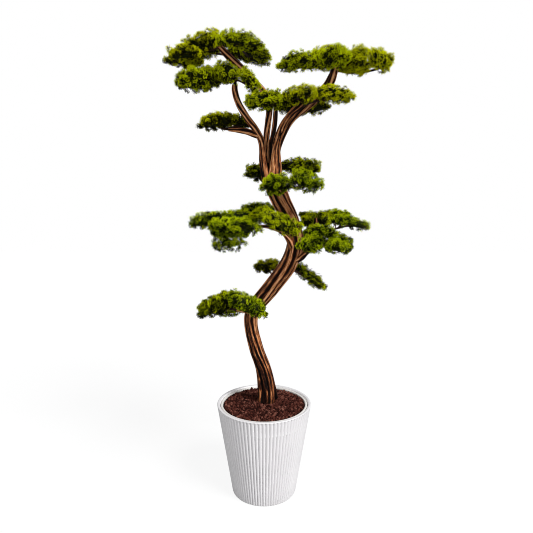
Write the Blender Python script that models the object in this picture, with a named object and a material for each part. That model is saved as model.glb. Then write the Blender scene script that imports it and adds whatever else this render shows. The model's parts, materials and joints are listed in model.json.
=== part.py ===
"""A cloud-pruned tree, about 1.5 m tall, in a white ribbed pot filled with lava granules.

Metres, +Z up. The origin is the centre of the pot's flat underside, and the tree is seen from -Y.
A fluted trunk winds up to a flat cut, where its strands part into boughs. Each bough ends in stems,
and each stem carries one clipped mass of foliage: a lobed core with leafy twigs standing out of it.
"""

import math
import random
from collections import namedtuple

import bmesh
import bpy
from mathutils import Matrix, Vector
from mathutils.bvhtree import BVHTree

GAP = 0.0003

POT_HEIGHT = 0.316
POT_TOP_RADIUS = 0.159
POT_FOOT_RADIUS = 0.109
POT_FOOT_CHAMFER = 0.004
POT_FLOOR = 0.015
POT_RIBS = 80
RIB_DEPTH = 0.0042
RIB_TOP_DROP = 0.005
LIP_WIDTH = 0.0105
WALL = 0.020
LINER_WALL = 0.010
LINER_DEPTH = 0.050
LINER_DROP = 0.003
POT_INNER_SIDES = 40

SOIL_TOP = 0.311
SOIL_EDGE_DROP = 0.003
SOIL_FLAT_RADIUS = 0.060

FORK_HEIGHT = 1.075
TRUNK_STRANDS = 7
TRUNK_POINTS_PER_STRAND = 4
TRUNK_RINGS = 30
TRUNK_FLUTE = 0.13
TRUNK_TWIST = math.radians(200)

BOUGH_SIDES = 8
BOUGH_STEP = 0.034
STEM_RADIUS = 0.0034
STEM_SIDES = 4
STEM_SPREAD = 0.55
STEM_FOOT = 0.002
STEM_LIFT = 0.35
STEM_LIFT_MOST = 0.022
STEM_REACH = 0.95
STEM_TAPER = 0.7
TRUNK_STEM_WIDTH = 1.3

# The lobes' places and radii are shares of the mass's half sizes.
LOBE_PITCH = 0.072
LOBE_EDGE = 0.98
MIDDLE_LOBE_RADIUS = 0.80
RIM_LOBE_REACH = (0.56, 0.66)
RIM_LOBE_RISE = (-0.22, 0.08)
TOP_LOBE_REACH = (0.25, 0.42)
TOP_LOBE_RISE = (0.34, 0.46)
TOP_LOBE_RADIUS = (0.48, 0.56)

CORE_INSET = 0.004
CORE_FULLNESS = 2.8
CORE_COLUMNS = 12
CORE_ROWS = 6
CORE_FLATNESS = 0.92
CORE_LEAST_REACH = 0.006
CORE_PULL = 0.88
CORE_PULLS = 16
CLEARANCE = 0.0012
TWIG_RADIUS = 0.0022
LEAF_LENGTH = 0.034
LEAF_WIDTH = 0.022
LEAF_THICKNESS = 0.005
LEAF_AREA = 0.0275
LEAF_SINK = 0.45
LEAST_LEAVES = 5
LEAF_LEAN = 1.5
HIGHEST_LEAF = 0.92
LOWEST_LEAF = -0.58
TWIG_TAPER = 0.7

# A path is a list of (x, y, z, radius), and a smooth curve runs through it.
TRUNK_PATH = [
    (0.011, 0.020, SOIL_TOP + GAP, 0.0355),
    (0.010, 0.016, 0.364, 0.0320),
    (-0.001, 0.006, 0.433, 0.0278),
    (-0.025, -0.002, 0.505, 0.0256),
    (-0.043, -0.003, 0.589, 0.0230),
    (-0.0315, 0.002, 0.642, 0.0256),
    (0.0245, 0.008, 0.711, 0.0298),
    (0.083, 0.010, 0.791, 0.0316),
    (0.104, 0.006, 0.865, 0.0305),
    (0.0855, 0.000, 0.935, 0.0292),
    (0.052, -0.002, 1.003, 0.0312),
    (0.0275, 0.000, FORK_HEIGHT, 0.0340),
]

# Each bough is rooted on another limb, or stands on the fork's flat cut where the carrier is None.
Bough = namedtuple("Bough", "name carrier path")
BOUGHS = [
    Bough("left_stem", None, [
        (0.005, -0.006, FORK_HEIGHT + GAP, 0.0104),
        (-0.003, -0.009, 1.124, 0.0106),
        (-0.007, -0.009, 1.178, 0.0106),
        (-0.026, -0.007, 1.217, 0.0108),
        (-0.054, -0.003, 1.256, 0.0106),
        (-0.079, 0.000, 1.297, 0.0106),
        (-0.089, -0.004, 1.332, 0.0098),
        (-0.089, -0.006, 1.352, 0.0088),
    ]),
    Bough("crown_lower", None, [
        (0.013, 0.015, FORK_HEIGHT + GAP, 0.0098),
        (0.010, 0.017, 1.130, 0.0100),
        (0.008, 0.018, 1.186, 0.0106),
        (0.013, 0.018, 1.238, 0.0108),
        (0.018, 0.017, 1.285, 0.0106),
        (0.010, 0.016, 1.326, 0.0106),
    ]),
    Bough("crown_upper", "crown_lower", [
        (0.010, 0.016, 1.326, 0.0106),
        (-0.014, 0.012, 1.350, 0.0110),
        (-0.045, 0.004, 1.381, 0.0116),
        (-0.087, -0.008, 1.416, 0.0120),
        (-0.117, -0.018, 1.443, 0.0110),
        (-0.133, -0.024, 1.460, 0.0090),
    ]),
    Bough("dark_stem", None, [
        (0.032, 0.022, FORK_HEIGHT + GAP, 0.0080),
        (0.022, 0.034, 1.150, 0.0084),
        (0.030, 0.030, 1.206, 0.0088),
        (0.036, 0.024, 1.245, 0.0086),
        (0.0385, 0.018, 1.284, 0.0074),
    ]),
    Bough("right_lower", None, [
        (0.040, -0.004, FORK_HEIGHT + GAP, 0.0152),
        (0.0385, -0.005, 1.124, 0.0148),
        (0.040, -0.004, 1.162, 0.0150),
        (0.0525, 0.000, 1.202, 0.0164),
        (0.072, 0.006, 1.239, 0.0172),
        (0.098, 0.012, 1.269, 0.0180),
        (0.128, 0.015, 1.293, 0.0180),
        (0.158, 0.016, 1.314, 0.0164),
    ]),
    Bough("right_upper", "right_lower", [
        (0.158, 0.016, 1.314, 0.0160),
        (0.184, 0.012, 1.335, 0.0150),
        (0.204, 0.004, 1.360, 0.0138),
        (0.215, -0.002, 1.386, 0.0126),
        (0.218, -0.006, 1.408, 0.0110),
    ]),
    Bough("far", "right_upper", [
        (0.216, 0.000, 1.395, 0.0060),
        (0.243, 0.050, 1.405, 0.0056),
        (0.285, 0.090, 1.409, 0.0052),
        (0.334, 0.064, 1.407, 0.0048),
        (0.358, 0.010, 1.404, 0.0042),
    ]),
    Bough("collar", "right_lower", [
        (0.054, 0.000, 1.206, 0.0068),
        (0.065, -0.022, 1.232, 0.0062),
        (0.087, -0.038, 1.258, 0.0058),
        (0.120, -0.044, 1.281, 0.0054),
    ]),
    Bough("shelf", "left_stem", [
        (-0.015, -0.009, 1.196, 0.0092),
        (-0.044, -0.004, 1.208, 0.0110),
        (-0.077, 0.002, 1.216, 0.0098),
        (-0.111, 0.004, 1.219, 0.0076),
    ]),
    Bough("arm", "trunk", [
        (0.090, -0.008, 0.838, 0.0105),
        (0.082, -0.026, 0.864, 0.0098),
        (0.069, -0.037, 0.887, 0.0084),
        (0.047, -0.043, 0.904, 0.0070),
        (0.013, -0.047, 0.915, 0.0060),
        (-0.021, -0.047, 0.918, 0.0052),
    ]),
    Bough("low", "trunk", [
        (0.094, 0.004, 0.796, 0.0110),
        (0.118, -0.014, 0.812, 0.0105),
        (0.134, -0.032, 0.832, 0.0098),
        (0.150, -0.046, 0.853, 0.0086),
    ]),
    Bough("east", "low", [
        (0.136, -0.020, 0.836, 0.0080),
        (0.152, -0.006, 0.868, 0.0082),
        (0.166, -0.008, 0.910, 0.0088),
        (0.168, -0.006, 0.941, 0.0056),
    ]),
    Bough("foot", "trunk", [
        (-0.033, 0.002, 0.632, 0.0095),
        (-0.060, -0.030, 0.641, 0.0080),
        (-0.090, -0.050, 0.650, 0.0062),
    ]),
]

# Each mass hangs on one limb. Its centre, its half length, depth and thickness are metres, its slope
# is in degrees with the right-hand end up, and its stem leaves the trunk at height where it is given.
Mass = namedtuple("Mass", "name carrier centre half slope height", defaults=(None,))
MASSES = [
    Mass("crown_tip", "crown_upper", (-0.238, -0.035, 1.425), (0.066, 0.076, 0.025), 8),
    Mass("crown_top", "crown_upper", (-0.193, 0.060, 1.480), (0.082, 0.086, 0.042), 16),
    Mass("crown_front", "crown_upper", (-0.072, -0.080, 1.455), (0.077, 0.073, 0.025), -5),
    Mass("crown_back", "crown_upper", (-0.049, 0.075, 1.463), (0.079, 0.081, 0.028), -12),
    Mass("left_tip", "left_stem", (-0.200, -0.020, 1.359), (0.077, 0.081, 0.037), 5),
    Mass("left_top", "left_stem", (-0.107, -0.045, 1.373), (0.048, 0.066, 0.035), -4),
    Mass("left_inner", "left_stem", (-0.046, -0.055, 1.351), (0.047, 0.053, 0.026), -50),
    Mass("left_back", "left_stem", (-0.170, 0.090, 1.397), (0.080, 0.051, 0.033), -2),
    Mass("right_inner", "right_upper", (0.110, 0.000, 1.418), (0.078, 0.081, 0.026), 10),
    Mass("right_top", "right_upper", (0.208, -0.060, 1.415), (0.054, 0.076, 0.033), -4),
    Mass("right_outer", "right_upper", (0.292, 0.030, 1.424), (0.054, 0.076, 0.046), -8),
    Mass("right_tip", "far", (0.350, -0.020, 1.420), (0.048, 0.066, 0.031), -42),
    Mass("right_back", "right_upper", (0.203, 0.130, 1.458), (0.081, 0.071, 0.042), 4),
    Mass("collar_left", "dark_stem", (0.013, -0.065, 1.290), (0.075, 0.066, 0.029), 2),
    Mass("collar_mid", "collar", (0.104, -0.095, 1.303), (0.055, 0.061, 0.030), 0),
    Mass("collar_right", "collar", (0.206, -0.050, 1.311), (0.075, 0.063, 0.027), -6),
    Mass("collar_back", "dark_stem", (0.130, 0.100, 1.302), (0.098, 0.066, 0.033), 0),
    Mass("collar_far", "dark_stem", (0.009, 0.095, 1.325), (0.070, 0.056, 0.030), 0),
    Mass("shelf_tip", "shelf", (-0.144, -0.020, 1.237), (0.064, 0.071, 0.030), 8),
    Mass("shelf_back", "shelf", (-0.083, 0.070, 1.248), (0.051, 0.061, 0.027), -8),
    Mass("waist_left", "trunk", (-0.020, 0.085, 1.085), (0.049, 0.066, 0.034), 0, 1.035),
    Mass("waist_back", "trunk", (0.122, 0.095, 1.105), (0.076, 0.081, 0.033), -8, 1.050),
    Mass("waist_front", "trunk", (0.125, -0.100, 1.052), (0.058, 0.061, 0.039), -14, 1.040),
    Mass("arm_long", "arm", (-0.132, 0.005, 0.932), (0.119, 0.071, 0.034), 4),
    Mass("arm_low", "arm", (-0.085, -0.120, 0.915), (0.087, 0.071, 0.036), 0),
    Mass("arm_front", "arm", (0.038, -0.100, 0.933), (0.089, 0.056, 0.036), -24),
    Mass("arm_back", "trunk", (-0.023, 0.115, 0.964), (0.068, 0.073, 0.026), 4, 0.930),
    Mass("east_top", "east", (0.171, 0.060, 0.929), (0.057, 0.061, 0.034), 0),
    Mass("east_back", "east", (0.260, 0.135, 0.940), (0.051, 0.059, 0.026), -8),
    Mass("east_tip", "east", (0.274, 0.010, 0.925), (0.073, 0.056, 0.024), -12),
    Mass("low_mid", "low", (0.179, -0.050, 0.898), (0.057, 0.053, 0.028), -3),
    Mass("low_tip", "low", (0.259, 0.035, 0.861), (0.045, 0.056, 0.026), -28),
    Mass("low_front", "low", (0.138, -0.120, 0.866), (0.043, 0.056, 0.033), -4),
    Mass("low_right", "low", (0.226, -0.075, 0.855), (0.048, 0.056, 0.029), -10),
    Mass("low_back", "trunk", (0.181, 0.115, 0.859), (0.061, 0.056, 0.036), -4, 0.835),
    Mass("bend_left", "trunk", (0.010, 0.115, 0.766), (0.053, 0.066, 0.028), 2, 0.745),
    Mass("bend_right", "trunk", (0.160, 0.105, 0.728), (0.078, 0.054, 0.027), -38, 0.770),
    Mass("foot_tip", "foot", (-0.148, -0.040, 0.664), (0.078, 0.071, 0.036), 24),
    Mass("foot_front", "foot", (-0.051, -0.100, 0.678), (0.076, 0.066, 0.029), -26),
    Mass("foot_back", "foot", (-0.129, 0.085, 0.622), (0.068, 0.051, 0.034), 4),
    Mass("arm_drop", "arm", (-0.108, -0.100, 0.872), (0.056, 0.053, 0.039), 4),
    Mass("waist_low", "trunk", (0.037, -0.085, 1.043), (0.055, 0.056, 0.038), 4, 1.030),
]


def clear_scene():
    for obj in list(bpy.data.objects):
        bpy.data.objects.remove(obj, do_unlink=True)


def make_material(name, colour, roughness):
    material = bpy.data.materials.new(name)
    material.use_nodes = True
    shader = material.node_tree.nodes["Principled BSDF"]
    shader.inputs["Base Color"].default_value = (*colour, 1.0)
    shader.inputs["Roughness"].default_value = roughness
    shader.inputs["Metallic"].default_value = 0.0
    material.diffuse_color = (*colour, 1.0)
    return material


def make_object(name, bm, material=None):
    """Turn a bmesh into an object in the scene, with every face pointing outwards."""
    bmesh.ops.recalc_face_normals(bm, faces=bm.faces)
    mesh = bpy.data.meshes.new(name)
    bm.to_mesh(mesh)
    bm.free()
    obj = bpy.data.objects.new(name, mesh)
    bpy.context.scene.collection.objects.link(obj)
    if material:
        mesh.materials.append(material)
    return obj


def add_ring(bm, count, radius, height, valley=None):
    """A level ring of vertices; with a valley radius, every second vertex lies on that."""
    ring = []
    for index in range(count):
        angle = 2 * math.pi * index / count
        reach = valley if valley is not None and index % 2 else radius
        ring.append(bm.verts.new((reach * math.cos(angle), reach * math.sin(angle), height)))
    return ring


def join_rings(bm, first, second):
    count = len(first)
    for index in range(count):
        after = (index + 1) % count
        bm.faces.new((first[index], first[after], second[after], second[index]))


def join_rings_in_triangles(bm, first, second):
    """Like join_rings, with the diagonals fixed, so that a grown copy keeps its distance all over."""
    count = len(first)
    for index in range(count):
        after = (index + 1) % count
        bm.faces.new((first[index], first[after], second[after]))
        bm.faces.new((first[index], second[after], second[index]))


def loop_edges(bm, ring):
    return [bm.edges.get((ring[i], ring[(i + 1) % len(ring)])) for i in range(len(ring))]


def pot_radius(height):
    return POT_FOOT_RADIUS + (POT_TOP_RADIUS - POT_FOOT_RADIUS) * height / POT_HEIGHT


def pot(material):
    """The ribbed outer wall, its plain lip, and a stepped inner wall down to the floor."""
    count = 2 * POT_RIBS
    shoulder = POT_HEIGHT - LINER_DROP - LINER_DEPTH
    rib_top = POT_HEIGHT - RIB_TOP_DROP
    bm = bmesh.new()
    outer = [add_ring(bm, count, POT_FOOT_RADIUS - POT_FOOT_CHAMFER, 0.0)]
    for height in (POT_FOOT_CHAMFER, rib_top):
        ridge = pot_radius(height)
        outer.append(add_ring(bm, count, ridge, height, ridge - RIB_DEPTH))
    outer.append(add_ring(bm, count, POT_TOP_RADIUS, POT_HEIGHT))
    lip_radius = POT_TOP_RADIUS - LIP_WIDTH
    inner = [
        add_ring(bm, POT_INNER_SIDES, lip_radius, POT_HEIGHT),
        add_ring(bm, POT_INNER_SIDES, lip_radius, shoulder),
        add_ring(bm, POT_INNER_SIDES, lip_radius - LINER_WALL, shoulder),
        add_ring(bm, POT_INNER_SIDES, POT_FOOT_RADIUS - WALL / 2, POT_FLOOR),
    ]
    for rings in (outer, inner):
        for low, high in zip(rings, rings[1:]):
            join_rings(bm, low, high)
    bm.faces.new(outer[0])
    bm.faces.new(inner[-1])
    rim = loop_edges(bm, outer[-1]) + loop_edges(bm, inner[0])
    bmesh.ops.triangle_fill(bm, edges=rim, use_beauty=True, normal=(0, 0, 1))
    return make_object("pot", bm, material)


def liner(material):
    """The rim of the inner pot, which hangs on the outer pot's shoulder."""
    outer_radius = POT_TOP_RADIUS - LIP_WIDTH - GAP / math.cos(math.pi / POT_INNER_SIDES)
    inner_radius = outer_radius - LINER_WALL + GAP
    low = POT_HEIGHT - LINER_DROP - LINER_DEPTH + GAP
    high = POT_HEIGHT - LINER_DROP
    bm = bmesh.new()
    corners = [(outer_radius, low), (outer_radius, high), (inner_radius, high), (inner_radius, low)]
    rings = [add_ring(bm, POT_INNER_SIDES, radius, height) for radius, height in corners]
    for first, second in zip(rings, rings[1:] + rings[:1]):
        join_rings(bm, first, second)
    return make_object("liner_rim", bm, material)


def granules(material):
    """The filling: it reaches from the pot's floor to the top, inside the liner's rim."""
    shoulder = POT_HEIGHT - LINER_DROP - LINER_DEPTH
    side = 2 * GAP
    top_radius = POT_TOP_RADIUS - LIP_WIDTH - LINER_WALL - side
    foot_radius = POT_FOOT_RADIUS - WALL / 2 - side
    bm = bmesh.new()
    rings = [
        add_ring(bm, POT_INNER_SIDES, foot_radius, POT_FLOOR + GAP),
        add_ring(bm, POT_INNER_SIDES, top_radius, shoulder),
        add_ring(bm, POT_INNER_SIDES, top_radius, SOIL_TOP - SOIL_EDGE_DROP),
        add_ring(bm, POT_INNER_SIDES, SOIL_FLAT_RADIUS, SOIL_TOP),
    ]
    for low, high in zip(rings, rings[1:]):
        join_rings(bm, low, high)
    bm.faces.new(rings[0])
    bm.faces.new(rings[-1])
    return make_object("granules", bm, material)


def curve_point(points, place):
    """The point at place, from 0 to 1, on a smooth curve through the points, radius included."""
    spans = len(points) - 1
    index = min(int(place * spans), spans - 1)
    t = place * spans - index
    before, start = points[max(index - 1, 0)], points[index]
    end, after = points[index + 1], points[min(index + 2, spans)]
    blend = []
    for a, b, c, d in zip(before, start, end, after):
        blend.append(b + t / 2 * (c - a + t * (2 * a - 5 * b + 4 * c - d + t * (3 * (b - c) + d - a))))
    return Vector(blend[:3]), blend[3]


def path_length(path):
    return sum((Vector(b[:3]) - Vector(a[:3])).length for a, b in zip(path, path[1:]))


def frames_along(centres):
    """A tangent and two side directions at each centre, turned as little as can be."""
    frames = []
    side = None
    for index, centre in enumerate(centres):
        ahead = centres[min(index + 1, len(centres) - 1)]
        behind = centres[max(index - 1, 0)]
        tangent = (ahead - behind).normalized()
        if side is None:
            side = Vector((1, 0, 0)) if abs(tangent.x) < 0.9 else Vector((0, 1, 0))
        side = (side - tangent * side.dot(tangent)).normalized()
        frames.append((tangent, side, tangent.cross(side)))
    return frames


def add_tube(bm, path, rings, profile, grow=0.0, level_start=False, level_end=False):
    """A closed tube along a path. profile(place) lists the radii around it, as shares of its radius."""
    samples = [curve_point(path, index / (rings - 1)) for index in range(rings)]
    frames = frames_along([centre for centre, _ in samples])
    loops = []
    for index, ((centre, radius), (tangent, side, other)) in enumerate(zip(samples, frames)):
        level = (index == 0 and level_start) or (index == rings - 1 and level_end)
        if level:
            side = Vector((side.x, side.y, 0)).normalized()
            other = Vector((0, 0, 1)).cross(side)
        loop = []
        shares = profile(index / (rings - 1))
        for step, share in enumerate(shares):
            angle = 2 * math.pi * step / len(shares)
            out = side * math.cos(angle) + other * math.sin(angle)
            loop.append(bm.verts.new(centre + out * (radius * share + grow)))
        loops.append(loop)
    for low, high in zip(loops, loops[1:]):
        join_rings_in_triangles(bm, low, high)
    bm.faces.new(loops[0])
    bm.faces.new(loops[-1])


def fluted(place):
    """The trunk's outline: a bundle of strands that winds round as it climbs."""
    count = TRUNK_STRANDS * TRUNK_POINTS_PER_STRAND
    turn = TRUNK_TWIST * place
    shares = []
    for step in range(count):
        angle = 2 * math.pi * step / count - turn
        swell = abs(math.cos(angle * TRUNK_STRANDS / 2 + 0.6 * math.sin(angle)))
        shares.append(1 + TRUNK_FLUTE * (swell ** 0.7 - 0.5))
    return shares


def plain(sides):
    return lambda place: [1.0] * sides


def trunk_mesh(grow=0.0):
    bm = bmesh.new()
    add_tube(bm, TRUNK_PATH, TRUNK_RINGS, fluted, grow, level_start=True, level_end=True)
    return bm


def bough_mesh(bough, grow=0.0):
    bm = bmesh.new()
    rings = max(4, round(path_length(bough.path) / BOUGH_STEP) + 1)
    standing = bough.carrier is None
    add_tube(bm, bough.path, rings, plain(BOUGH_SIDES), grow, level_start=standing)
    return bm


def limb_mesh(name, grow=0.0):
    if name == "trunk":
        return trunk_mesh(grow)
    return bough_mesh(next(bough for bough in BOUGHS if bough.name == name), grow)


def apply_modifiers(obj):
    """Keep the evaluated shape as the object's own mesh."""
    graph = bpy.context.evaluated_depsgraph_get()
    shaped = bpy.data.meshes.new_from_object(obj.evaluated_get(graph))
    obj.modifiers.clear()
    old = obj.data
    obj.data = shaped
    shaped.name = obj.name
    bpy.data.meshes.remove(old)


def keep_largest(obj):
    """Drop the loose scraps that a cut or a union leaves beside the main body."""
    bm = bmesh.new()
    bm.from_mesh(obj.data)
    left = set(bm.verts)
    bodies = []
    while left:
        body, ahead = set(), [left.pop()]
        while ahead:
            vert = ahead.pop()
            body.add(vert)
            for edge in vert.link_edges:
                other = edge.other_vert(vert)
                if other in left:
                    left.remove(other)
                    ahead.append(other)
        bodies.append(body)
    bodies.sort(key=len)
    for body in bodies[:-1]:
        bmesh.ops.delete(bm, geom=list(body), context="VERTS")
    bm.to_mesh(obj.data)
    bm.free()


def cut_clear(obj, limb):
    """Cut the object back to the gap round the limb that carries it."""
    cutter = make_object("cutter", limb_mesh(limb, grow=GAP * 1.1))
    cutter.hide_render = True
    cutter.display_type = "WIRE"
    cut = obj.modifiers.new("clear of limb", "BOOLEAN")
    cut.operation = "DIFFERENCE"
    cut.object = cutter
    apply_modifiers(obj)
    keep_largest(obj)
    bpy.data.objects.remove(cutter, do_unlink=True)


def butt_path(bough):
    """A bough that goes on from its carrier's tip starts a gap beyond it."""
    carrier = next((other for other in BOUGHS if other.name == bough.carrier), None)
    if carrier is None or carrier.path[-1][:3] != bough.path[0][:3]:
        return bough
    start = Vector(bough.path[0][:3]) + tip_of(carrier)[1] * GAP
    return bough._replace(path=[(*start, bough.path[0][3])] + bough.path[1:])


def make_boughs(material):
    limbs = {}
    for bough in BOUGHS:
        obj = make_object("bough_" + bough.name, bough_mesh(butt_path(bough)), material)
        if bough.carrier:
            cut_clear(obj, bough.carrier)
        limbs[bough.name] = obj
    return limbs


def tip_of(bough):
    """The centre, direction and radius of a bough's end."""
    end, radius = curve_point(bough.path, 1.0)
    rings = max(4, round(path_length(bough.path) / BOUGH_STEP) + 1)
    before, _ = curve_point(bough.path, (rings - 2) / (rings - 1))
    return end, (end - before).normalized(), radius


def trunk_at(height):
    """The trunk's centre at a height."""
    steps = 200
    places = [curve_point(TRUNK_PATH, index / steps)[0] for index in range(steps + 1)]
    return min(places, key=lambda point: abs(point.z - height))


def stem_path(start, ahead, goal, radius):
    """A stem leaves its limb along ahead, then bends to the middle of its mass."""
    reach = (goal - start).length
    points = (
        (start, radius),
        (start + ahead * STEM_FOOT, radius),
        (start + ahead * min(STEM_LIFT * reach, STEM_LIFT_MOST), radius * 0.9),
        (start + (goal - start) * STEM_REACH, radius * STEM_TAPER),
    )
    return [(*point, width) for point, width in points]


def tip_stems(bough, group):
    """The stems on a bough's end stand in a ring, each on the side that its mass is on."""
    tip, axis, tip_radius = tip_of(bough)
    across = axis.orthogonal().normalized()
    other = axis.cross(across)
    sides = []
    for mass in group:
        toward = Vector(mass.centre) - tip
        sides.append((math.atan2(toward.dot(other), toward.dot(across)), mass))
    sides.sort(key=lambda pair: pair[0])
    count = len(sides)
    spread = tip_radius * STEM_SPREAD if count > 1 else 0.0
    radius = STEM_RADIUS
    if count > 2:
        radius = min(radius, spread * math.sin(math.pi / count) - GAP)
    steps = [angle - 2 * math.pi * index / count for index, (angle, _) in enumerate(sides)]
    turn = sum(steps) / count
    paths = {}
    for index, (_, mass) in enumerate(sides):
        angle = turn + 2 * math.pi * index / count
        offset = (across * math.cos(angle) + other * math.sin(angle)) * spread
        start = tip + axis * GAP + offset
        paths[mass.name] = stem_path(start, axis, Vector(mass.centre), radius)
    return paths


def trunk_stem(mass):
    goal = Vector(mass.centre)
    start = trunk_at(mass.height)
    ahead = Vector((goal.x - start.x, goal.y - start.y, 0)).normalized()
    reach = (goal - start).length
    points = (
        (start, STEM_RADIUS * TRUNK_STEM_WIDTH),
        (start + ahead * STEM_FOOT, STEM_RADIUS * TRUNK_STEM_WIDTH),
        (start + ahead * reach * 0.55, STEM_RADIUS),
        (start + (goal - start) * STEM_REACH, STEM_RADIUS * 0.8),
    )
    return [(*point, width) for point, width in points]


def stem_paths():
    """One stem for each mass, from the end of its bough or from the trunk."""
    paths = {}
    for bough in BOUGHS:
        group = [mass for mass in MASSES if mass.carrier == bough.name]
        if group:
            paths.update(tip_stems(bough, group))
    for mass in MASSES:
        if mass.carrier == "trunk":
            paths[mass.name] = trunk_stem(mass)
    return paths


def stem_mesh(path, grow=0.0):
    bm = bmesh.new()
    samples = [Vector(point[:3]) for point in path]
    frames = frames_along(samples)
    start_axis = (samples[1] - samples[0]).normalized()
    loops = []
    for index, (centre, (tangent, side, other)) in enumerate(zip(samples, frames)):
        if index < 2:
            tangent = start_axis
            side = (side - tangent * side.dot(tangent)).normalized()
            other = tangent.cross(side)
        loop = []
        for step in range(STEM_SIDES):
            angle = 2 * math.pi * (step + 0.5) / STEM_SIDES
            out = side * math.cos(angle) + other * math.sin(angle)
            loop.append(bm.verts.new(centre + out * (path[index][3] + grow)))
        loops.append(loop)
    for low, high in zip(loops, loops[1:]):
        join_rings_in_triangles(bm, low, high)
    bm.faces.new(loops[0])
    bm.faces.new(loops[-1])
    return bm


def stem_object(mass, path):
    obj = make_object("stem_" + mass.name, stem_mesh(path))
    if mass.carrier == "trunk":
        cut_clear(obj, "trunk")
    return obj


def tree_of_mesh(bm):
    bmesh.ops.triangulate(bm, faces=bm.faces)
    tree = BVHTree.FromBMesh(bm)
    bm.free()
    return tree


def mass_frame(mass):
    """The turn of a mass: its length runs along X and tilts by its slope."""
    return Matrix.Rotation(-math.radians(mass.slope), 3, "Y")


def mass_lobes(mass, rng):
    """Rounded lobes in the mass's unit ball: a ring round the rim and a few over the top."""
    length, depth, _ = mass.half
    count = max(5, round(math.pi * (length + depth) / LOBE_PITCH))
    start = rng.uniform(0, 2 * math.pi)
    lobes = [((0.0, 0.0, 0.0), MIDDLE_LOBE_RADIUS)]
    for index in range(count):
        angle = start + 2 * math.pi * (index + rng.uniform(-0.2, 0.2)) / count
        reach = rng.uniform(*RIM_LOBE_REACH)
        centre = (reach * math.cos(angle), reach * math.sin(angle), rng.uniform(*RIM_LOBE_RISE))
        lobes.append((centre, LOBE_EDGE - reach))
    for index in range(count // 2):
        angle = start + 2 * math.pi * (index + rng.uniform(0.1, 0.9)) / (count // 2)
        reach = rng.uniform(*TOP_LOBE_REACH)
        centre = (reach * math.cos(angle), reach * math.sin(angle), rng.uniform(*TOP_LOBE_RISE))
        lobes.append((centre, rng.uniform(*TOP_LOBE_RADIUS)))
    return lobes


def lobe_reach(lobes, direction):
    """How far the union of the lobes reaches from the middle, in the unit ball."""
    best = 0.0
    for centre, radius in lobes:
        along = sum(a * b for a, b in zip(centre, direction))
        inside = along * along - sum(a * a for a in centre) + radius * radius
        if inside >= 0:
            best = max(best, along + math.sqrt(inside))
    return best


def fullness(direction):
    """How much a cushion with full edges reaches past a plain ball."""
    return sum(abs(part) ** CORE_FULLNESS for part in direction) ** (-1 / CORE_FULLNESS)


def core_point(mass, lobes, direction):
    """A point of the core's skin, from the middle of the mass."""
    reach = lobe_reach(lobes, direction) * fullness(direction)
    local = Vector([part * reach * (half - CORE_INSET) for part, half in zip(direction, mass.half)])
    if local.z < 0:
        local.z *= CORE_FLATNESS
    return mass_frame(mass) @ local


def extent_along(mass, normal):
    """How far the mass reaches from its middle in a direction."""
    local = mass_frame(mass).transposed() @ normal
    return math.sqrt(sum((half * part) ** 2 for half, part in zip(mass.half, local)))


def walls_round(mass):
    """The planes that part a mass from each of the others, as an outward normal and a distance."""
    walls = []
    for other in MASSES:
        if other is mass:
            continue
        apart = Vector(other.centre) - Vector(mass.centre)
        widths = [(own + its) / 2 for own, its in zip(mass.half, other.half)]
        normal = Vector([part / width ** 2 for part, width in zip(apart, widths)]).normalized()
        own, its = extent_along(mass, normal), extent_along(other, normal)
        walls.append((normal, apart.dot(normal) * own / (own + its) - CLEARANCE))
    return walls


def clipped(ray, reach, walls, centre, obstacles):
    """The reach along a ray, cut short at the walls and at whatever stands in the way."""
    for normal, distance in walls:
        along = ray.dot(normal)
        if along > 0:
            reach = min(reach, distance / along)
    for tree in obstacles:
        hit = tree.ray_cast(centre, ray, reach)[3]
        if hit is not None:
            reach = min(reach, hit)
    return max(reach, CORE_LEAST_REACH)


def core_object(mass, lobes, walls, obstacles):
    """The lobed core, drawn back only where something stands in its space."""
    centre = Vector(mass.centre)
    bm = bmesh.new()
    loops = []

    def skin(direction):
        offset = core_point(mass, lobes, direction)
        ray = offset.normalized()
        return bm.verts.new(centre + ray * clipped(ray, offset.length, walls, centre, obstacles))

    for row in range(1, CORE_ROWS):
        tilt = math.pi * row / CORE_ROWS
        loop = []
        for column in range(CORE_COLUMNS):
            turn = 2 * math.pi * (column + 0.5 * (row % 2)) / CORE_COLUMNS
            around = math.sin(tilt)
            loop.append(skin((around * math.cos(turn), around * math.sin(turn), math.cos(tilt))))
        loops.append(loop)
    for row, (high, low) in enumerate(zip(loops, loops[1:])):
        for column in range(CORE_COLUMNS):
            after = (column + 1) % CORE_COLUMNS
            if row % 2:
                bm.faces.new((high[column], high[after], low[column]))
                bm.faces.new((high[after], low[after], low[column]))
            else:
                bm.faces.new((high[column], high[after], low[after]))
                bm.faces.new((high[column], low[after], low[column]))
    for loop, direction in ((loops[0], (0, 0, 1)), (loops[-1], (0, 0, -1))):
        pole = skin(direction)
        for column in range(CORE_COLUMNS):
            bm.faces.new((pole, loop[column], loop[(column + 1) % CORE_COLUMNS]))
    for _ in range(CORE_PULLS):
        if not pull_back(bm, centre, obstacles):
            break
    return make_object("core_" + mass.name, bm)


def pull_back(bm, centre, obstacles):
    """Draw the corners of each face that touches something nearer to the middle."""
    bm.faces.ensure_lookup_table()
    own = BVHTree.FromBMesh(bm)
    caught = set()
    for tree in obstacles:
        for index, _ in own.overlap(tree):
            caught.update(bm.faces[index].verts)
    for vert in caught:
        vert.co = centre + (vert.co - centre) * CORE_PULL
    return caught


def leaves_space(obj, centre, walls):
    """Whether a point of the object lies beyond one of the walls."""
    corners = [vert.co - centre for vert in obj.data.vertices]
    return any(corner.dot(normal) > distance for corner in corners for normal, distance in walls)


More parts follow.
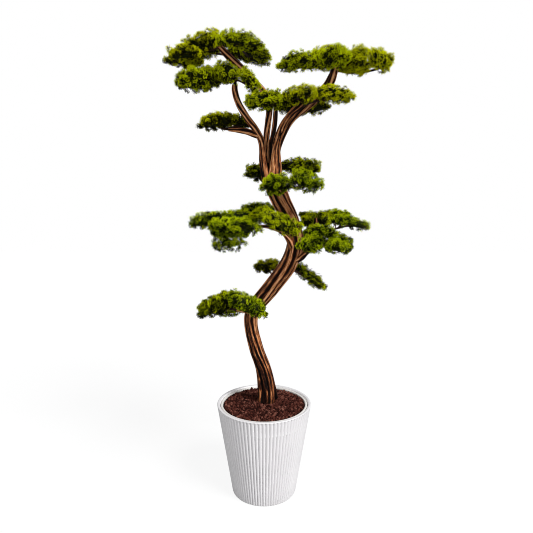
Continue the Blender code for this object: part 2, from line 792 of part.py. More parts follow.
def touches(obj, obstacles):
    bm = bmesh.new()
    bm.from_mesh(obj.data)
    own = tree_of_mesh(bm)
    return any(own.overlap(tree) for tree in obstacles)


def leafy_twig(root, tip, lean, roll, rng):
    """A three-sided twig that ends in one flat eight-faced leaf, as two objects."""
    axis = (tip - root).normalized()
    side = axis.orthogonal().normalized()
    other = axis.cross(side)
    bm = bmesh.new()
    low, high = [], []
    for step in range(3):
        out = side * math.cos(2 * math.pi * step / 3) + other * math.sin(2 * math.pi * step / 3)
        low.append(bm.verts.new(root + out * TWIG_RADIUS))
        high.append(bm.verts.new(tip + out * TWIG_RADIUS * TWIG_TAPER))
    join_rings(bm, low, high)
    bm.faces.new(low)
    bm.faces.new(high)
    twig = make_object("twig", bm)
    axis = lean
    side = Matrix.Rotation(roll, 3, axis) @ axis.orthogonal().normalized()
    other = axis.cross(side)
    size = rng.uniform(0.85, 1.15)
    length, width = LEAF_LENGTH * size, LEAF_WIDTH * size / 2
    base = tip - axis * length * LEAF_SINK
    middle = base + axis * length * 0.55
    bm = bmesh.new()
    ends = [bm.verts.new(base), bm.verts.new(base + axis * length)]
    offsets = (side * width, other * LEAF_THICKNESS / 2, -side * width, -other * LEAF_THICKNESS / 2)
    belt = [bm.verts.new(middle + offset) for offset in offsets]
    for index in range(4):
        after = belt[(index + 1) % 4]
        bm.faces.new((ends[0], after, belt[index]))
        bm.faces.new((ends[1], belt[index], after))
    return twig, make_object("leaf", bm)


def twig_places(mass, lobes, walls, obstacles, rng):
    """Roots and tips of the leafy twigs, spread evenly over the core by the golden angle."""
    length, depth, height = mass.half
    area = 4 * math.pi * ((length * depth) ** 1.6 / 3 + 2 * (depth * height) ** 1.6 / 3) ** (1 / 1.6)
    count = max(LEAST_LEAVES, round(area / LEAF_AREA))
    places = []
    for index in range(count):
        spread = (index + rng.uniform(0.2, 0.8)) / count
        height_share = HIGHEST_LEAF + (LOWEST_LEAF - HIGHEST_LEAF) * spread
        around = math.sqrt(max(0.0, 1 - height_share * height_share))
        turn = index * math.pi * (3 - math.sqrt(5)) + rng.uniform(-0.25, 0.25)
        direction = (around * math.cos(turn), around * math.sin(turn), height_share)
        skin = core_point(mass, lobes, direction)
        ray = skin.normalized()
        skin = ray * clipped(ray, skin.length, walls, Vector(mass.centre), obstacles)
        out = Vector([part / half for part, half in zip(skin, mass.half)]).normalized()
        along = Vector((-out.y, out.x, 0)) * rng.choice((-1, 1)) + Vector((0, 0, rng.uniform(-0.4, 0.8)))
        lean = (out + along.normalized() * LEAF_LEAN * rng.uniform(0.5, 1.0)).normalized()
        places.append((skin * 0.5, skin * 0.96, lean))
    return places


def solid_when_shaped(obj):
    """Whether the evaluated mesh is closed, with two faces on every edge."""
    graph = bpy.context.evaluated_depsgraph_get()
    shaped = obj.evaluated_get(graph)
    bm = bmesh.new()
    bm.from_mesh(shaped.to_mesh())
    shaped.to_mesh_clear()
    solid = len(bm.faces) > 0 and all(len(edge.link_faces) == 2 for edge in bm.edges)
    bm.free()
    return solid


def fuse(name, pieces, material):
    """One solid from many: the first piece takes in the others by a single union."""
    whole, rest = pieces[0], pieces[1:]
    group = bpy.data.collections.new("joined")
    bpy.context.scene.collection.children.link(group)
    for piece in rest:
        group.objects.link(piece)
    union = whole.modifiers.new("union", "BOOLEAN")
    union.operation = "UNION"
    union.operand_type = "COLLECTION"
    union.collection = group
    if not solid_when_shaped(whole):
        union.solver = "MANIFOLD"
    apply_modifiers(whole)
    keep_largest(whole)
    for piece in rest:
        bpy.data.objects.remove(piece, do_unlink=True)
    bpy.data.collections.remove(group)
    whole.name = name
    whole.data.materials.clear()
    whole.data.materials.append(material)
    return whole


def foliage(mass, seed, stem, obstacles, material):
    rng = random.Random(seed)
    lobes = mass_lobes(mass, rng)
    walls = walls_round(mass)
    pieces = [core_object(mass, lobes, walls, obstacles), stem]
    centre = Vector(mass.centre)
    for root, tip, lean in twig_places(mass, lobes, walls, obstacles, rng):
        twig, leaf = leafy_twig(centre + root, centre + tip, lean, rng.uniform(0, math.pi), rng)
        if leaves_space(leaf, centre, walls) or touches(twig, obstacles) or touches(leaf, obstacles):
            bpy.data.objects.remove(twig, do_unlink=True)
            bpy.data.objects.remove(leaf, do_unlink=True)
            continue
        pieces += [twig, leaf]
    return fuse("foliage_" + mass.name, pieces, material)


def shade(obj, angle):
    obj.data.shade_smooth()
    obj.data.set_sharp_from_angle(angle=math.radians(angle))


def main():
    clear_scene()
    white = make_material("matt white", (0.82, 0.81, 0.80), 0.55)
    cream = make_material("cream plastic", (0.78, 0.74, 0.68), 0.5)
    lava = make_material("lava granules", (0.085, 0.03, 0.022), 0.95)
    bark = make_material("stringy bark", (0.17, 0.075, 0.035), 0.8)
    green = make_material("clipped foliage", (0.13, 0.17, 0.012), 0.7)
    shade(pot(white), 40)
    shade(liner(cream), 40)
    granules(lava)
    limbs = {"trunk": make_object("trunk", trunk_mesh(), bark), **make_boughs(bark)}
    limb_trees = [tree_of_mesh(limb_mesh(name, CLEARANCE)) for name in limbs]
    paths = stem_paths()
    stem_trees = {name: tree_of_mesh(stem_mesh(path, CLEARANCE)) for name, path in paths.items()}
    for seed, mass in enumerate(MASSES):
        others = [tree for name, tree in stem_trees.items() if name != mass.name]
        foliage(mass, seed, stem_object(mass, paths[mass.name]), limb_trees + others, green)
    for limb in limbs.values():
        shade(limb, 60)


main()
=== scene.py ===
"""The looks of a cloud-pruned tree in a white ribbed pot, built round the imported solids.

Metres, +Z up, seen from -Y. The trunk and boughs are bundles of winding strands, the foliage is
small leafy sprigs set over the lobes of each clipped mass, and the pot, the inner pot's rim and the
lava granules are modelled piece by piece.
"""

import json
import math
import random
from collections import namedtuple
from itertools import product

import bmesh
import bpy
import numpy as np
from mathutils import Euler, Matrix, Vector, noise

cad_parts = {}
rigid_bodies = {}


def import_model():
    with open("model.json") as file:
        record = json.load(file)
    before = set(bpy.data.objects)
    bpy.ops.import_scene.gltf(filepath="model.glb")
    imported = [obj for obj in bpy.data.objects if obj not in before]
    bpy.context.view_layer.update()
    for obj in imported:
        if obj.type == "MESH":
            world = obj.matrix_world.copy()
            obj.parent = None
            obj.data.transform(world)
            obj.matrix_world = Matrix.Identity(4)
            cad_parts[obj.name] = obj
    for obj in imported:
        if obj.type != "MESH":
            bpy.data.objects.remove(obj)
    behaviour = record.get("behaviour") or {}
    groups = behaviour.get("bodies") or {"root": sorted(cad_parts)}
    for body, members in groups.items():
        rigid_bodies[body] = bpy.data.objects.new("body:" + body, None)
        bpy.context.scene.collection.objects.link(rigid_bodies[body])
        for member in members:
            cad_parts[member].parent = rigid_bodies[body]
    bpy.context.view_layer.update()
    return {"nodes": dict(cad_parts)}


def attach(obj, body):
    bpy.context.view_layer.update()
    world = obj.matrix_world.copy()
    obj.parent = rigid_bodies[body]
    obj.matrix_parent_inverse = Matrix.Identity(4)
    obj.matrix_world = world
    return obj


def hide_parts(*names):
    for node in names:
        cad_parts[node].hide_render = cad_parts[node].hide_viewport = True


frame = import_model()

# Sizes and rules shared with the part's source
POT_HEIGHT = 0.316
POT_TOP_RADIUS = 0.159
POT_FOOT_RADIUS = 0.109
POT_RIBS = 80
GROOVE_DEPTH = 0.0058
POT_FLOOR = 0.015
RIB_TOP_DROP = 0.0022
LIP_BAND = 0.0017
LIP_WIDTH = 0.0105
LINER_WALL = 0.010
LINER_DEPTH = 0.050
LINER_DROP = 0.003
GAP = 0.0003
SOIL_TOP = 0.311
FORK_HEIGHT = 1.075
LOBE_PITCH = 0.072
LOBE_EDGE = 0.98
MIDDLE_LOBE_RADIUS = 0.80
RIM_LOBE_REACH = (0.56, 0.66)
RIM_LOBE_RISE = (-0.22, 0.08)
TOP_LOBE_REACH = (0.25, 0.42)
TOP_LOBE_RISE = (0.34, 0.46)
TOP_LOBE_RADIUS = (0.48, 0.56)
CORE_INSET = 0.004
CORE_FULLNESS = 2.8
CORE_FLATNESS = 0.92
CLEARANCE = 0.0012

# A path is a list of (x, y, z, radius), and a smooth curve runs through it.
TRUNK_PATH = [
    (0.011, 0.020, SOIL_TOP + GAP, 0.0355),
    (0.010, 0.016, 0.364, 0.0320),
    (-0.001, 0.006, 0.433, 0.0278),
    (-0.025, -0.002, 0.505, 0.0256),
    (-0.043, -0.003, 0.589, 0.0230),
    (-0.0315, 0.002, 0.642, 0.0256),
    (0.0245, 0.008, 0.711, 0.0298),
    (0.083, 0.010, 0.791, 0.0316),
    (0.104, 0.006, 0.865, 0.0305),
    (0.0855, 0.000, 0.935, 0.0292),
    (0.052, -0.002, 1.003, 0.0312),
    (0.0275, 0.000, FORK_HEIGHT, 0.0340),
]

# Each bough is rooted on another limb, or stands on the fork's flat cut where the carrier is None. It
# is a bundle of so many strands, so much paler than the trunk or, below 0, darker.
Bough = namedtuple("Bough", "carrier strands lift path")
BOUGHS = {
    "left_stem": Bough(None, 5, 0.0, [
        (0.005, -0.006, FORK_HEIGHT + GAP, 0.0104), (-0.003, -0.009, 1.124, 0.0106),
        (-0.007, -0.009, 1.178, 0.0106), (-0.026, -0.007, 1.217, 0.0108), (-0.054, -0.003, 1.256, 0.0106),
        (-0.079, 0.000, 1.297, 0.0106), (-0.089, -0.004, 1.332, 0.0098), (-0.089, -0.006, 1.352, 0.0088),
    ]),
    "crown_lower": Bough(None, 5, 0.2, [
        (0.013, 0.015, FORK_HEIGHT + GAP, 0.0098), (0.010, 0.017, 1.130, 0.0100),
        (0.008, 0.018, 1.186, 0.0106), (0.013, 0.018, 1.238, 0.0108), (0.018, 0.017, 1.285, 0.0106),
        (0.010, 0.016, 1.326, 0.0106),
    ]),
    "crown_upper": Bough("crown_lower", 5, 0.0, [
        (0.010, 0.016, 1.326, 0.0106), (-0.014, 0.012, 1.350, 0.0110), (-0.045, 0.004, 1.381, 0.0116),
        (-0.087, -0.008, 1.416, 0.0120), (-0.117, -0.018, 1.443, 0.0110), (-0.133, -0.024, 1.460, 0.0090),
    ]),
    "dark_stem": Bough(None, 3, -0.3, [
        (0.032, 0.022, FORK_HEIGHT + GAP, 0.0080), (0.022, 0.034, 1.150, 0.0084),
        (0.030, 0.030, 1.206, 0.0088), (0.036, 0.024, 1.245, 0.0086), (0.0385, 0.018, 1.284, 0.0074),
    ]),
    "right_lower": Bough(None, 7, 0.0, [
        (0.040, -0.004, FORK_HEIGHT + GAP, 0.0152), (0.0385, -0.005, 1.124, 0.0148),
        (0.040, -0.004, 1.162, 0.0150), (0.0525, 0.000, 1.202, 0.0164), (0.072, 0.006, 1.239, 0.0172),
        (0.098, 0.012, 1.269, 0.0180), (0.128, 0.015, 1.293, 0.0180), (0.158, 0.016, 1.314, 0.0164),
    ]),
    "right_upper": Bough("right_lower", 6, -0.15, [
        (0.158, 0.016, 1.314, 0.0160), (0.184, 0.012, 1.335, 0.0150), (0.204, 0.004, 1.360, 0.0138),
        (0.215, -0.002, 1.386, 0.0126), (0.218, -0.006, 1.408, 0.0110),
    ]),
    "far": Bough("right_upper", 2, 0.0, [
        (0.216, 0.000, 1.395, 0.0060), (0.243, 0.050, 1.405, 0.0056), (0.285, 0.090, 1.409, 0.0052),
        (0.334, 0.064, 1.407, 0.0048), (0.358, 0.010, 1.404, 0.0042),
    ]),
    "collar": Bough("right_lower", 2, 0.0, [
        (0.054, 0.000, 1.206, 0.0068), (0.065, -0.022, 1.232, 0.0062), (0.087, -0.038, 1.258, 0.0058),
        (0.120, -0.044, 1.281, 0.0054),
    ]),
    "shelf": Bough("left_stem", 4, -0.2, [
        (-0.015, -0.009, 1.196, 0.0092), (-0.044, -0.004, 1.208, 0.0110), (-0.077, 0.002, 1.216, 0.0098),
        (-0.111, 0.004, 1.219, 0.0076),
    ]),
    "arm": Bough("trunk", 4, 0.55, [
        (0.090, -0.008, 0.838, 0.0105), (0.082, -0.026, 0.864, 0.0098), (0.069, -0.037, 0.887, 0.0084),
        (0.047, -0.043, 0.904, 0.0070), (0.013, -0.047, 0.915, 0.0060), (-0.021, -0.047, 0.918, 0.0052),
    ]),
    "low": Bough("trunk", 4, 0.0, [
        (0.094, 0.004, 0.796, 0.0110), (0.118, -0.014, 0.812, 0.0105), (0.134, -0.032, 0.832, 0.0098),
        (0.150, -0.046, 0.853, 0.0086),
    ]),
    "east": Bough("low", 3, 0.0, [
        (0.136, -0.020, 0.836, 0.0080), (0.152, -0.006, 0.868, 0.0082), (0.166, -0.008, 0.910, 0.0088),
        (0.168, -0.006, 0.941, 0.0056),
    ]),
    "foot": Bough("trunk", 3, 0.0, [
        (-0.033, 0.002, 0.632, 0.0095), (-0.060, -0.030, 0.641, 0.0080), (-0.090, -0.050, 0.650, 0.0062),
    ]),
}

# Each mass hangs on one limb. Its centre, its half length, depth and thickness are metres, its slope
# is in degrees with the right-hand end up, then come its leaves' family and how light they are, and
# its stem leaves the trunk at height where it is given.
Mass = namedtuple("Mass", "name carrier centre half slope family light height", defaults=(None,))
MASSES = [
    Mass("crown_tip", "crown_upper", (-0.238, -0.035, 1.425), (0.066, 0.076, 0.025), 8, "yellow", 0.01),
    Mass("crown_top", "crown_upper", (-0.193, 0.060, 1.480), (0.082, 0.086, 0.042), 16, "yellow", 0.07),
    Mass("crown_front", "crown_upper", (-0.072, -0.080, 1.455), (0.077, 0.073, 0.025), -5, "olive", 0.25),
    Mass("crown_back", "crown_upper", (-0.049, 0.075, 1.463), (0.079, 0.081, 0.028), -12, "olive", 0.13),
    Mass("left_tip", "left_stem", (-0.200, -0.020, 1.359), (0.077, 0.081, 0.037), 5, "olive", 0.10),
    Mass("left_top", "left_stem", (-0.107, -0.045, 1.373), (0.048, 0.066, 0.035), -4, "olive", 0.17),
    Mass("left_inner", "left_stem", (-0.046, -0.055, 1.351), (0.047, 0.053, 0.026), -50, "olive", 0.18),
    Mass("left_back", "left_stem", (-0.170, 0.090, 1.397), (0.080, 0.051, 0.033), -2, "olive", 0.00),
    Mass("right_inner", "right_upper", (0.110, 0.000, 1.418), (0.078, 0.081, 0.026), 10, "olive", 0.36),
    Mass("right_top", "right_upper", (0.208, -0.060, 1.415), (0.054, 0.076, 0.033), -4, "olive", 0.37),
    Mass("right_outer", "right_upper", (0.292, 0.030, 1.424), (0.054, 0.076, 0.046), -8, "yellow", 0.44),
    Mass("right_tip", "far", (0.350, -0.020, 1.420), (0.048, 0.066, 0.031), -42, "yellow", 0.48),
    Mass("right_back", "right_upper", (0.203, 0.130, 1.458), (0.081, 0.071, 0.042), 4, "yellow", 0.27),
    Mass("collar_left", "dark_stem", (0.013, -0.065, 1.290), (0.075, 0.066, 0.029), 2, "olive", 0.10),
    Mass("collar_mid", "collar", (0.104, -0.095, 1.303), (0.055, 0.061, 0.030), 0, "yellow", 0.07),
    Mass("collar_right", "collar", (0.206, -0.050, 1.311), (0.075, 0.063, 0.027), -6, "yellow", 0.31),
    Mass("collar_back", "dark_stem", (0.130, 0.100, 1.302), (0.098, 0.066, 0.033), 0, "yellow", 0.01),
    Mass("collar_far", "dark_stem", (0.009, 0.095, 1.325), (0.070, 0.056, 0.030), 0, "yellow", 0.03),
    Mass("shelf_tip", "shelf", (-0.144, -0.020, 1.237), (0.064, 0.071, 0.030), 8, "yellow", -0.25),
    Mass("shelf_back", "shelf", (-0.083, 0.070, 1.248), (0.051, 0.061, 0.027), -8, "yellow", -0.33),
    Mass("waist_left", "trunk", (-0.020, 0.085, 1.085), (0.049, 0.066, 0.034), 0, "olive", -0.13, 1.035),
    Mass("waist_back", "trunk", (0.122, 0.095, 1.105), (0.076, 0.081, 0.033), -8, "olive", -0.10, 1.050),
    Mass("waist_front", "trunk", (0.125, -0.100, 1.052), (0.058, 0.061, 0.039), -14, "green", 0.02, 1.040),
    Mass("arm_long", "arm", (-0.132, 0.005, 0.932), (0.119, 0.071, 0.034), 4, "green", -0.02),
    Mass("arm_low", "arm", (-0.085, -0.120, 0.915), (0.087, 0.071, 0.036), 0, "green", 0.07),
    Mass("arm_front", "arm", (0.038, -0.100, 0.933), (0.089, 0.056, 0.036), -24, "olive", 0.12),
    Mass("arm_back", "trunk", (-0.023, 0.115, 0.964), (0.068, 0.073, 0.026), 4, "green", -0.17, 0.930),
    Mass("east_top", "east", (0.171, 0.060, 0.929), (0.057, 0.061, 0.034), 0, "olive", -0.32),
    Mass("east_back", "east", (0.260, 0.135, 0.940), (0.051, 0.059, 0.026), -8, "green", -0.08),
    Mass("east_tip", "east", (0.274, 0.010, 0.925), (0.073, 0.056, 0.024), -12, "green", -0.08),
    Mass("low_mid", "low", (0.179, -0.050, 0.898), (0.057, 0.053, 0.028), -3, "green", -0.13),
    Mass("low_tip", "low", (0.259, 0.035, 0.861), (0.045, 0.056, 0.026), -28, "green", -0.03),
    Mass("low_front", "low", (0.138, -0.120, 0.866), (0.043, 0.056, 0.033), -4, "green", -0.13),
    Mass("low_right", "low", (0.226, -0.075, 0.855), (0.048, 0.056, 0.029), -10, "green", -0.03),
    Mass("low_back", "trunk", (0.181, 0.115, 0.859), (0.061, 0.056, 0.036), -4, "green", -0.13, 0.835),
    Mass("bend_left", "trunk", (0.010, 0.115, 0.766), (0.053, 0.066, 0.028), 2, "yellow", -0.17, 0.745),
    Mass("bend_right", "trunk", (0.160, 0.105, 0.728), (0.078, 0.054, 0.027), -38, "olive", -0.17, 0.770),
    Mass("foot_tip", "foot", (-0.148, -0.040, 0.664), (0.078, 0.071, 0.036), 24, "olive", -0.25),
    Mass("foot_front", "foot", (-0.051, -0.100, 0.678), (0.076, 0.066, 0.029), -26, "green", -0.15),
    Mass("foot_back", "foot", (-0.129, 0.085, 0.622), (0.068, 0.051, 0.034), 4, "green", -0.10),
    Mass("arm_drop", "arm", (-0.108, -0.100, 0.872), (0.056, 0.053, 0.039), 4, "green", 0.06),
    Mass("waist_low", "trunk", (0.037, -0.085, 1.043), (0.055, 0.056, 0.038), 4, "green", 0.00, 1.030),
]


def curve_point(points, place):
    """The point at place, from 0 to 1, on a smooth curve through the points, radius included."""
    spans = len(points) - 1
    index = min(int(place * spans), spans - 1)
    t = place * spans - index
    near = [points[min(max(index + step, 0), spans)] for step in (-1, 0, 1, 2)]
    blend = []
    for a, b, c, d in zip(*near):
        blend.append(b + t / 2 * (c - a + t * (2 * a - 5 * b + 4 * c - d + t * (3 * (b - c) + d - a))))
    return Vector(blend[:3]), blend[3]


def polar(reach, angle):
    return reach * math.cos(angle), reach * math.sin(angle)


def any_angle(rng):
    return rng.uniform(0, 6.28)


def mass_frame(mass):
    """The turn of a mass: its length runs along X and tilts by its slope."""
    return Matrix.Rotation(-math.radians(mass.slope), 3, "Y")


def cluster_of(mass):
    return mass.name.split("_")[0]


def mass_lobes(mass, rng):
    """Rounded lobes in the mass's unit ball: a ring round the rim and a few over the top."""
    length, depth, _ = mass.half
    count = max(5, round(math.pi * (length + depth) / LOBE_PITCH))
    start = rng.uniform(0, 2 * math.pi)
    lobes = [((0.0, 0.0, 0.0), MIDDLE_LOBE_RADIUS)]
    for index in range(count):
        angle = start + 2 * math.pi * (index + rng.uniform(-0.2, 0.2)) / count
        reach = rng.uniform(*RIM_LOBE_REACH)
        lobes.append(((*polar(reach, angle), rng.uniform(*RIM_LOBE_RISE)), LOBE_EDGE - reach))
    for index in range(count // 2):
        angle = start + 2 * math.pi * (index + rng.uniform(0.1, 0.9)) / (count // 2)
        reach = rng.uniform(*TOP_LOBE_REACH)
        lobes.append(((*polar(reach, angle), rng.uniform(*TOP_LOBE_RISE)), rng.uniform(*TOP_LOBE_RADIUS)))
    return lobes


def lobe_reach(lobes, direction):
    """How far the union of the lobes reaches from the middle, in the unit ball."""
    best = 0.0
    for centre, radius in lobes:
        along = sum(a * b for a, b in zip(centre, direction))
        inside = along * along - sum(a * a for a in centre) + radius * radius
        if inside >= 0:
            best = max(best, along + math.sqrt(inside))
    return best


def linear(*colour):
    """A colour written as 0 to 255, as the shader wants it."""
    values = [part / 255 for part in colour]
    return tuple(v / 12.92 if v <= 0.04045 else ((v + 0.055) / 1.055) ** 2.4 for v in values)


def unit(rows):
    """The rows of an array, or one vector, made 1 long."""
    return rows / np.linalg.norm(rows, axis=-1, keepdims=True)


# Meshes from arrays


def add_values(mesh, label, kind, values):
    """Gives each point of the mesh its own value under a name."""
    field = "vector" if kind == "FLOAT_VECTOR" else "value"
    values = np.asarray(values, dtype=np.int32 if kind == "INT" else np.float32)
    mesh.attributes.new(label, kind, "POINT").data.foreach_set(field, values.ravel())


def mesh_object(name, points, faces, material=None, floats=None, uvs=None):
    """An object from an array of points and a list of faces, with named values on its points."""
    mesh = bpy.data.meshes.new(name)
    mesh.from_pydata([tuple(p) for p in points], [], [tuple(f) for f in faces])
    for label, values in (floats or {}).items():
        add_values(mesh, label, "FLOAT", values)
    if uvs is not None:
        layer = mesh.uv_layers.new(name="UVMap")
        loops = np.empty(len(mesh.loops), dtype=np.int32)
        mesh.loops.foreach_get("vertex_index", loops)
        layer.data.foreach_set("uv", np.asarray(uvs, dtype=np.float32)[loops].ravel())
    if material:
        mesh.materials.append(material)
    mesh.validate()
    obj = bpy.data.objects.new(name, mesh)
    bpy.context.scene.collection.objects.link(obj)
    return obj


def grid_faces(rows, columns, wrap_rows=False, wrap_columns=True):
    """The faces between rows of points, which may close on themselves either way."""
    faces = []
    for row in range(rows if wrap_rows else rows - 1):
        below, above = row * columns, (row + 1) % rows * columns
        for a in range(columns if wrap_columns else columns - 1):
            b = (a + 1) % columns
            faces.append((below + a, below + b, above + b, above + a))
    return faces


def smooth(obj, angle=None):
    obj.data.shade_smooth()
    if angle is not None:
        obj.data.set_sharp_from_angle(angle=math.radians(angle))
    return obj


class Stack:
    """Gathers the arrays of many small shapes that end up in one mesh."""

    def __init__(self):
        self.points, self.faces, self.uvs, self.floats, self.count = [], [], [], {}, 0

    def add(self, points, faces, uvs=None, **floats):
        self.points.append(points)
        self.faces += [tuple(int(i) + self.count for i in face) for face in faces]
        if uvs is not None:
            self.uvs.append(uvs)
        for label, values in floats.items():
            self.floats.setdefault(label, []).append(np.broadcast_to(values, (len(points),)))
        self.count += len(points)

    def build(self, name, material):
        uvs = np.concatenate(self.uvs) if self.uvs else None
        floats = {label: np.concatenate(values) for label, values in self.floats.items()}
        return mesh_object(name, np.concatenate(self.points), self.faces, material, floats, uvs)


def keep(piece, slot, *nodes):
    """Rides the plant and stands for the nodes; the slot is not used."""
    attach(piece, "root")
    if nodes:
        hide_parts(*nodes)


# Materials


def new_material(name, roughness, specular=0.5):
    material = bpy.data.materials.new(name)
    material.use_nodes = True
    shader = material.node_tree.nodes["Principled BSDF"]
    shader.inputs["Roughness"].default_value = roughness
    shader.inputs["Specular IOR Level"].default_value = specular
    return material, material.node_tree, shader


def feed(tree, socket, value):
    """Links the value to the socket where it is another node's, or else sets it."""
    if isinstance(value, bpy.types.NodeSocket):
        tree.links.new(value, socket)
    else:
        socket.default_value = value


def node(tree, kind, **inputs):
    made = tree.nodes.new(kind)
    for label, value in inputs.items():
        feed(tree, made.inputs[label.replace("_", " ")], value)
    return made


def ramp(tree, factor, stops):
    made = node(tree, "ShaderNodeValToRGB", Fac=factor)
    band = made.color_ramp
    while len(band.elements) < len(stops):
        band.elements.new(0.5)
    for element, (place, colour) in zip(band.elements, stops):
        element.position = place
        element.color = (*colour, 1.0)
    return made.outputs["Color"]


def maths(tree, operation, first, second=0.0, clamp=False):
    made = tree.nodes.new("ShaderNodeMath")
    made.operation, made.use_clamp = operation, clamp
    feed(tree, made.inputs[0], first)
    feed(tree, made.inputs[1], second)
    return made.outputs[0]


def attribute(tree, name):
    made = tree.nodes.new("ShaderNodeAttribute")
    made.attribute_name = name
    return made.outputs["Fac"]


def noise_of(tree, where, scale, detail=3.0, rough=0.55, stretch=None):
    if stretch:
        mapping = node(tree, "ShaderNodeMapping", Vector=where, Scale=stretch)
        where = mapping.outputs["Vector"]
    made = node(tree, "ShaderNodeTexNoise", Vector=where, Scale=scale, Detail=detail, Roughness=rough)
    return made.outputs["Fac"]


def bump(tree, shader, height, strength, distance):
    made = node(tree, "ShaderNodeBump", Height=height, Strength=strength, Distance=distance)
    feed(tree, shader.inputs["Normal"], made.outputs["Normal"])


def coordinates(tree, kind="Object"):
    return tree.nodes.new("ShaderNodeTexCoord").outputs[kind]


def bark_material():
    """Stringy bark: red-brown flanks, painted near-black shade in the grooves, painted pale orange
    highlights on the ridges.
    """
    material, tree, shader = new_material("stringy bark", 0.7, 0.16)
    where = coordinates(tree, "UV")
    fibres = noise_of(tree, where, 1.0, 4.0, 0.6, (420.0, 34.0, 1.0))
    patches = noise_of(tree, where, 1.0, 2.0, 0.5, (60.0, 9.0, 1.0))
    tone = maths(tree, "MULTIPLY", attribute(tree, "tone"), 0.26)
    # The bark's own tone plus painted light: painted highlights on crests, painted shade in grooves.
    ridge = maths(tree, "ADD", attribute(tree, "ridge"), tone)
    for drift, share in ((fibres, 2.0), (patches, 0.7)):
        swing = maths(tree, "MULTIPLY", maths(tree, "SUBTRACT", drift, 0.5), share)
        ridge = maths(tree, "ADD", ridge, swing, drift is patches)
    # The ramp runs from near-black painted shade through red-brown bark to a pale orange painted
    # highlight.
    feed(tree, shader.inputs["Base Color"], ramp(tree, ridge, [
        (0.08, linear(9, 2, 0)),
        (0.28, linear(46, 17, 7)),
        (0.46, linear(112, 58, 29)),
        (0.64, linear(196, 122, 70)),
        (0.86, linear(250, 190, 138)),
    ]))
    bump(tree, shader, fibres, 0.7, 0.0012)
    return material


def mottled(name, roughness, specular, cloud, stops, relief=None, grain=None):
    """Two shades that drift with a noise, and the relief of that noise or of a finer grain."""
    material, tree, shader = new_material(name, roughness, specular)
    where = coordinates(tree)
    drift = noise_of(tree, where, *cloud)
    feed(tree, shader.inputs["Base Color"], ramp(tree, drift, stops))
    if relief:
        bump(tree, shader, noise_of(tree, where, *grain) if grain else drift, *relief)
    return material


def twig_material():
    shades = [(0.3, linear(26, 15, 9)), (0.7, linear(74, 44, 27))]
    return mottled("dark twigs", 0.75, 0.3, (160.0,), shades, (0.5, 0.0006))


def pot_material():
    """Matt white, very faintly mottled, with a fine grain and painted shade that darkens the lip."""
    material, tree, shader = new_material("matt white glaze", 0.5, 0.4)
    where = coordinates(tree)
    shades = [(0.3, (0.845, 0.826, 0.836)), (0.7, (0.875, 0.857, 0.867))]
    wall = ramp(tree, noise_of(tree, where, 9.0, 3.0), shades)
    height = node(tree, "ShaderNodeSeparateXYZ", Vector=where).outputs["Z"]
    # Painted shade: the lip is coloured darker than the wall.
    on_lip = maths(tree, "GREATER_THAN", height, POT_HEIGHT - LIP_BAND)
    painted_lip_shade = ramp(tree, on_lip, [(0.0, (1.0, 1.0, 1.0)), (1.0, (0.80, 0.80, 0.80))])
    wall_with_painted_lip_shade = tree.nodes.new("ShaderNodeMix")
    wall_with_painted_lip_shade.data_type, wall_with_painted_lip_shade.blend_type = "RGBA", "MULTIPLY"
    wall_with_painted_lip_shade.inputs[0].default_value = 1.0
    feed(tree, wall_with_painted_lip_shade.inputs[6], wall)
    feed(tree, wall_with_painted_lip_shade.inputs[7], painted_lip_shade)
    feed(tree, shader.inputs["Base Color"], wall_with_painted_lip_shade.outputs[2])
    bump(tree, shader, noise_of(tree, where, 900.0, 2.0), 0.12, 0.0004)
    return material


def liner_material():
    shades = [(0.3, (0.66, 0.635, 0.60)), (0.7, (0.73, 0.71, 0.68))]
    return mottled("cream inner pot", 0.45, 0.4, (30.0, 3.0), shades, (0.15, 0.0004), (700.0, 2.0))


def shade_material():
    shades = [(0.35, linear(10, 14, 3)), (0.65, linear(36, 44, 9))]
    return mottled("deep shade", 0.9, 0.1, (240.0, 3.0, 0.7), shades, (1.0, 0.003))


def leaf_family(family):
    """The leaf colours of a family, lit and shaded copies from painted deep shade to painted light, each a
    little uneven from leaf to leaf.
    """
    made = []
    for index, colour in enumerate(LEAF_COLOURS[family]):
        base = linear(*colour)
        paler = tuple(min(1.0, part * 1.3) for part in base)
        stops = [(0.32, base), (0.68, paler)]
        made.append(mottled("%s leaf %d" % (family, index + 1), 0.7, 0.02, (55.0, 2.0), stops))
    return made


def lava_material():
    """Porous reddish-brown rock, each granule its own shade."""
    material, tree, shader = new_material("lava rock", 0.95, 0.06)
    pores = noise_of(tree, coordinates(tree), 420.0, 4.0, 0.7)
    tone = maths(tree, "MULTIPLY", attribute(tree, "tone"), 0.7)
    mix = maths(tree, "ADD", tone, maths(tree, "MULTIPLY", pores, 0.5), True)
    feed(tree, shader.inputs["Base Color"], ramp(tree, mix, [
        (0.15, linear(16, 3, 2)),
        (0.40, linear(50, 22, 17)),
        (0.65, linear(78, 40, 32)),
        (0.95, linear(120, 76, 64)),
    ]))
    bump(tree, shader, pores, 0.9, 0.0015)
    return material


# Geometry Nodes


def node_tree(name, inputs):
    """A Geometry Nodes tree with a geometry in, a geometry out and named inputs between."""
    tree = bpy.data.node_groups.new(name, "GeometryNodeTree")
    for label, kind in [("Geometry", "Geometry"), *inputs]:
        tree.interface.new_socket(label, in_out="INPUT", socket_type="NodeSocket" + kind)
    tree.interface.new_socket("Geometry", in_out="OUTPUT", socket_type="NodeSocketGeometry")
    given, out = tree.nodes.new("NodeGroupInput"), tree.nodes.new("NodeGroupOutput")
    return tree, given.outputs, out.inputs["Geometry"]


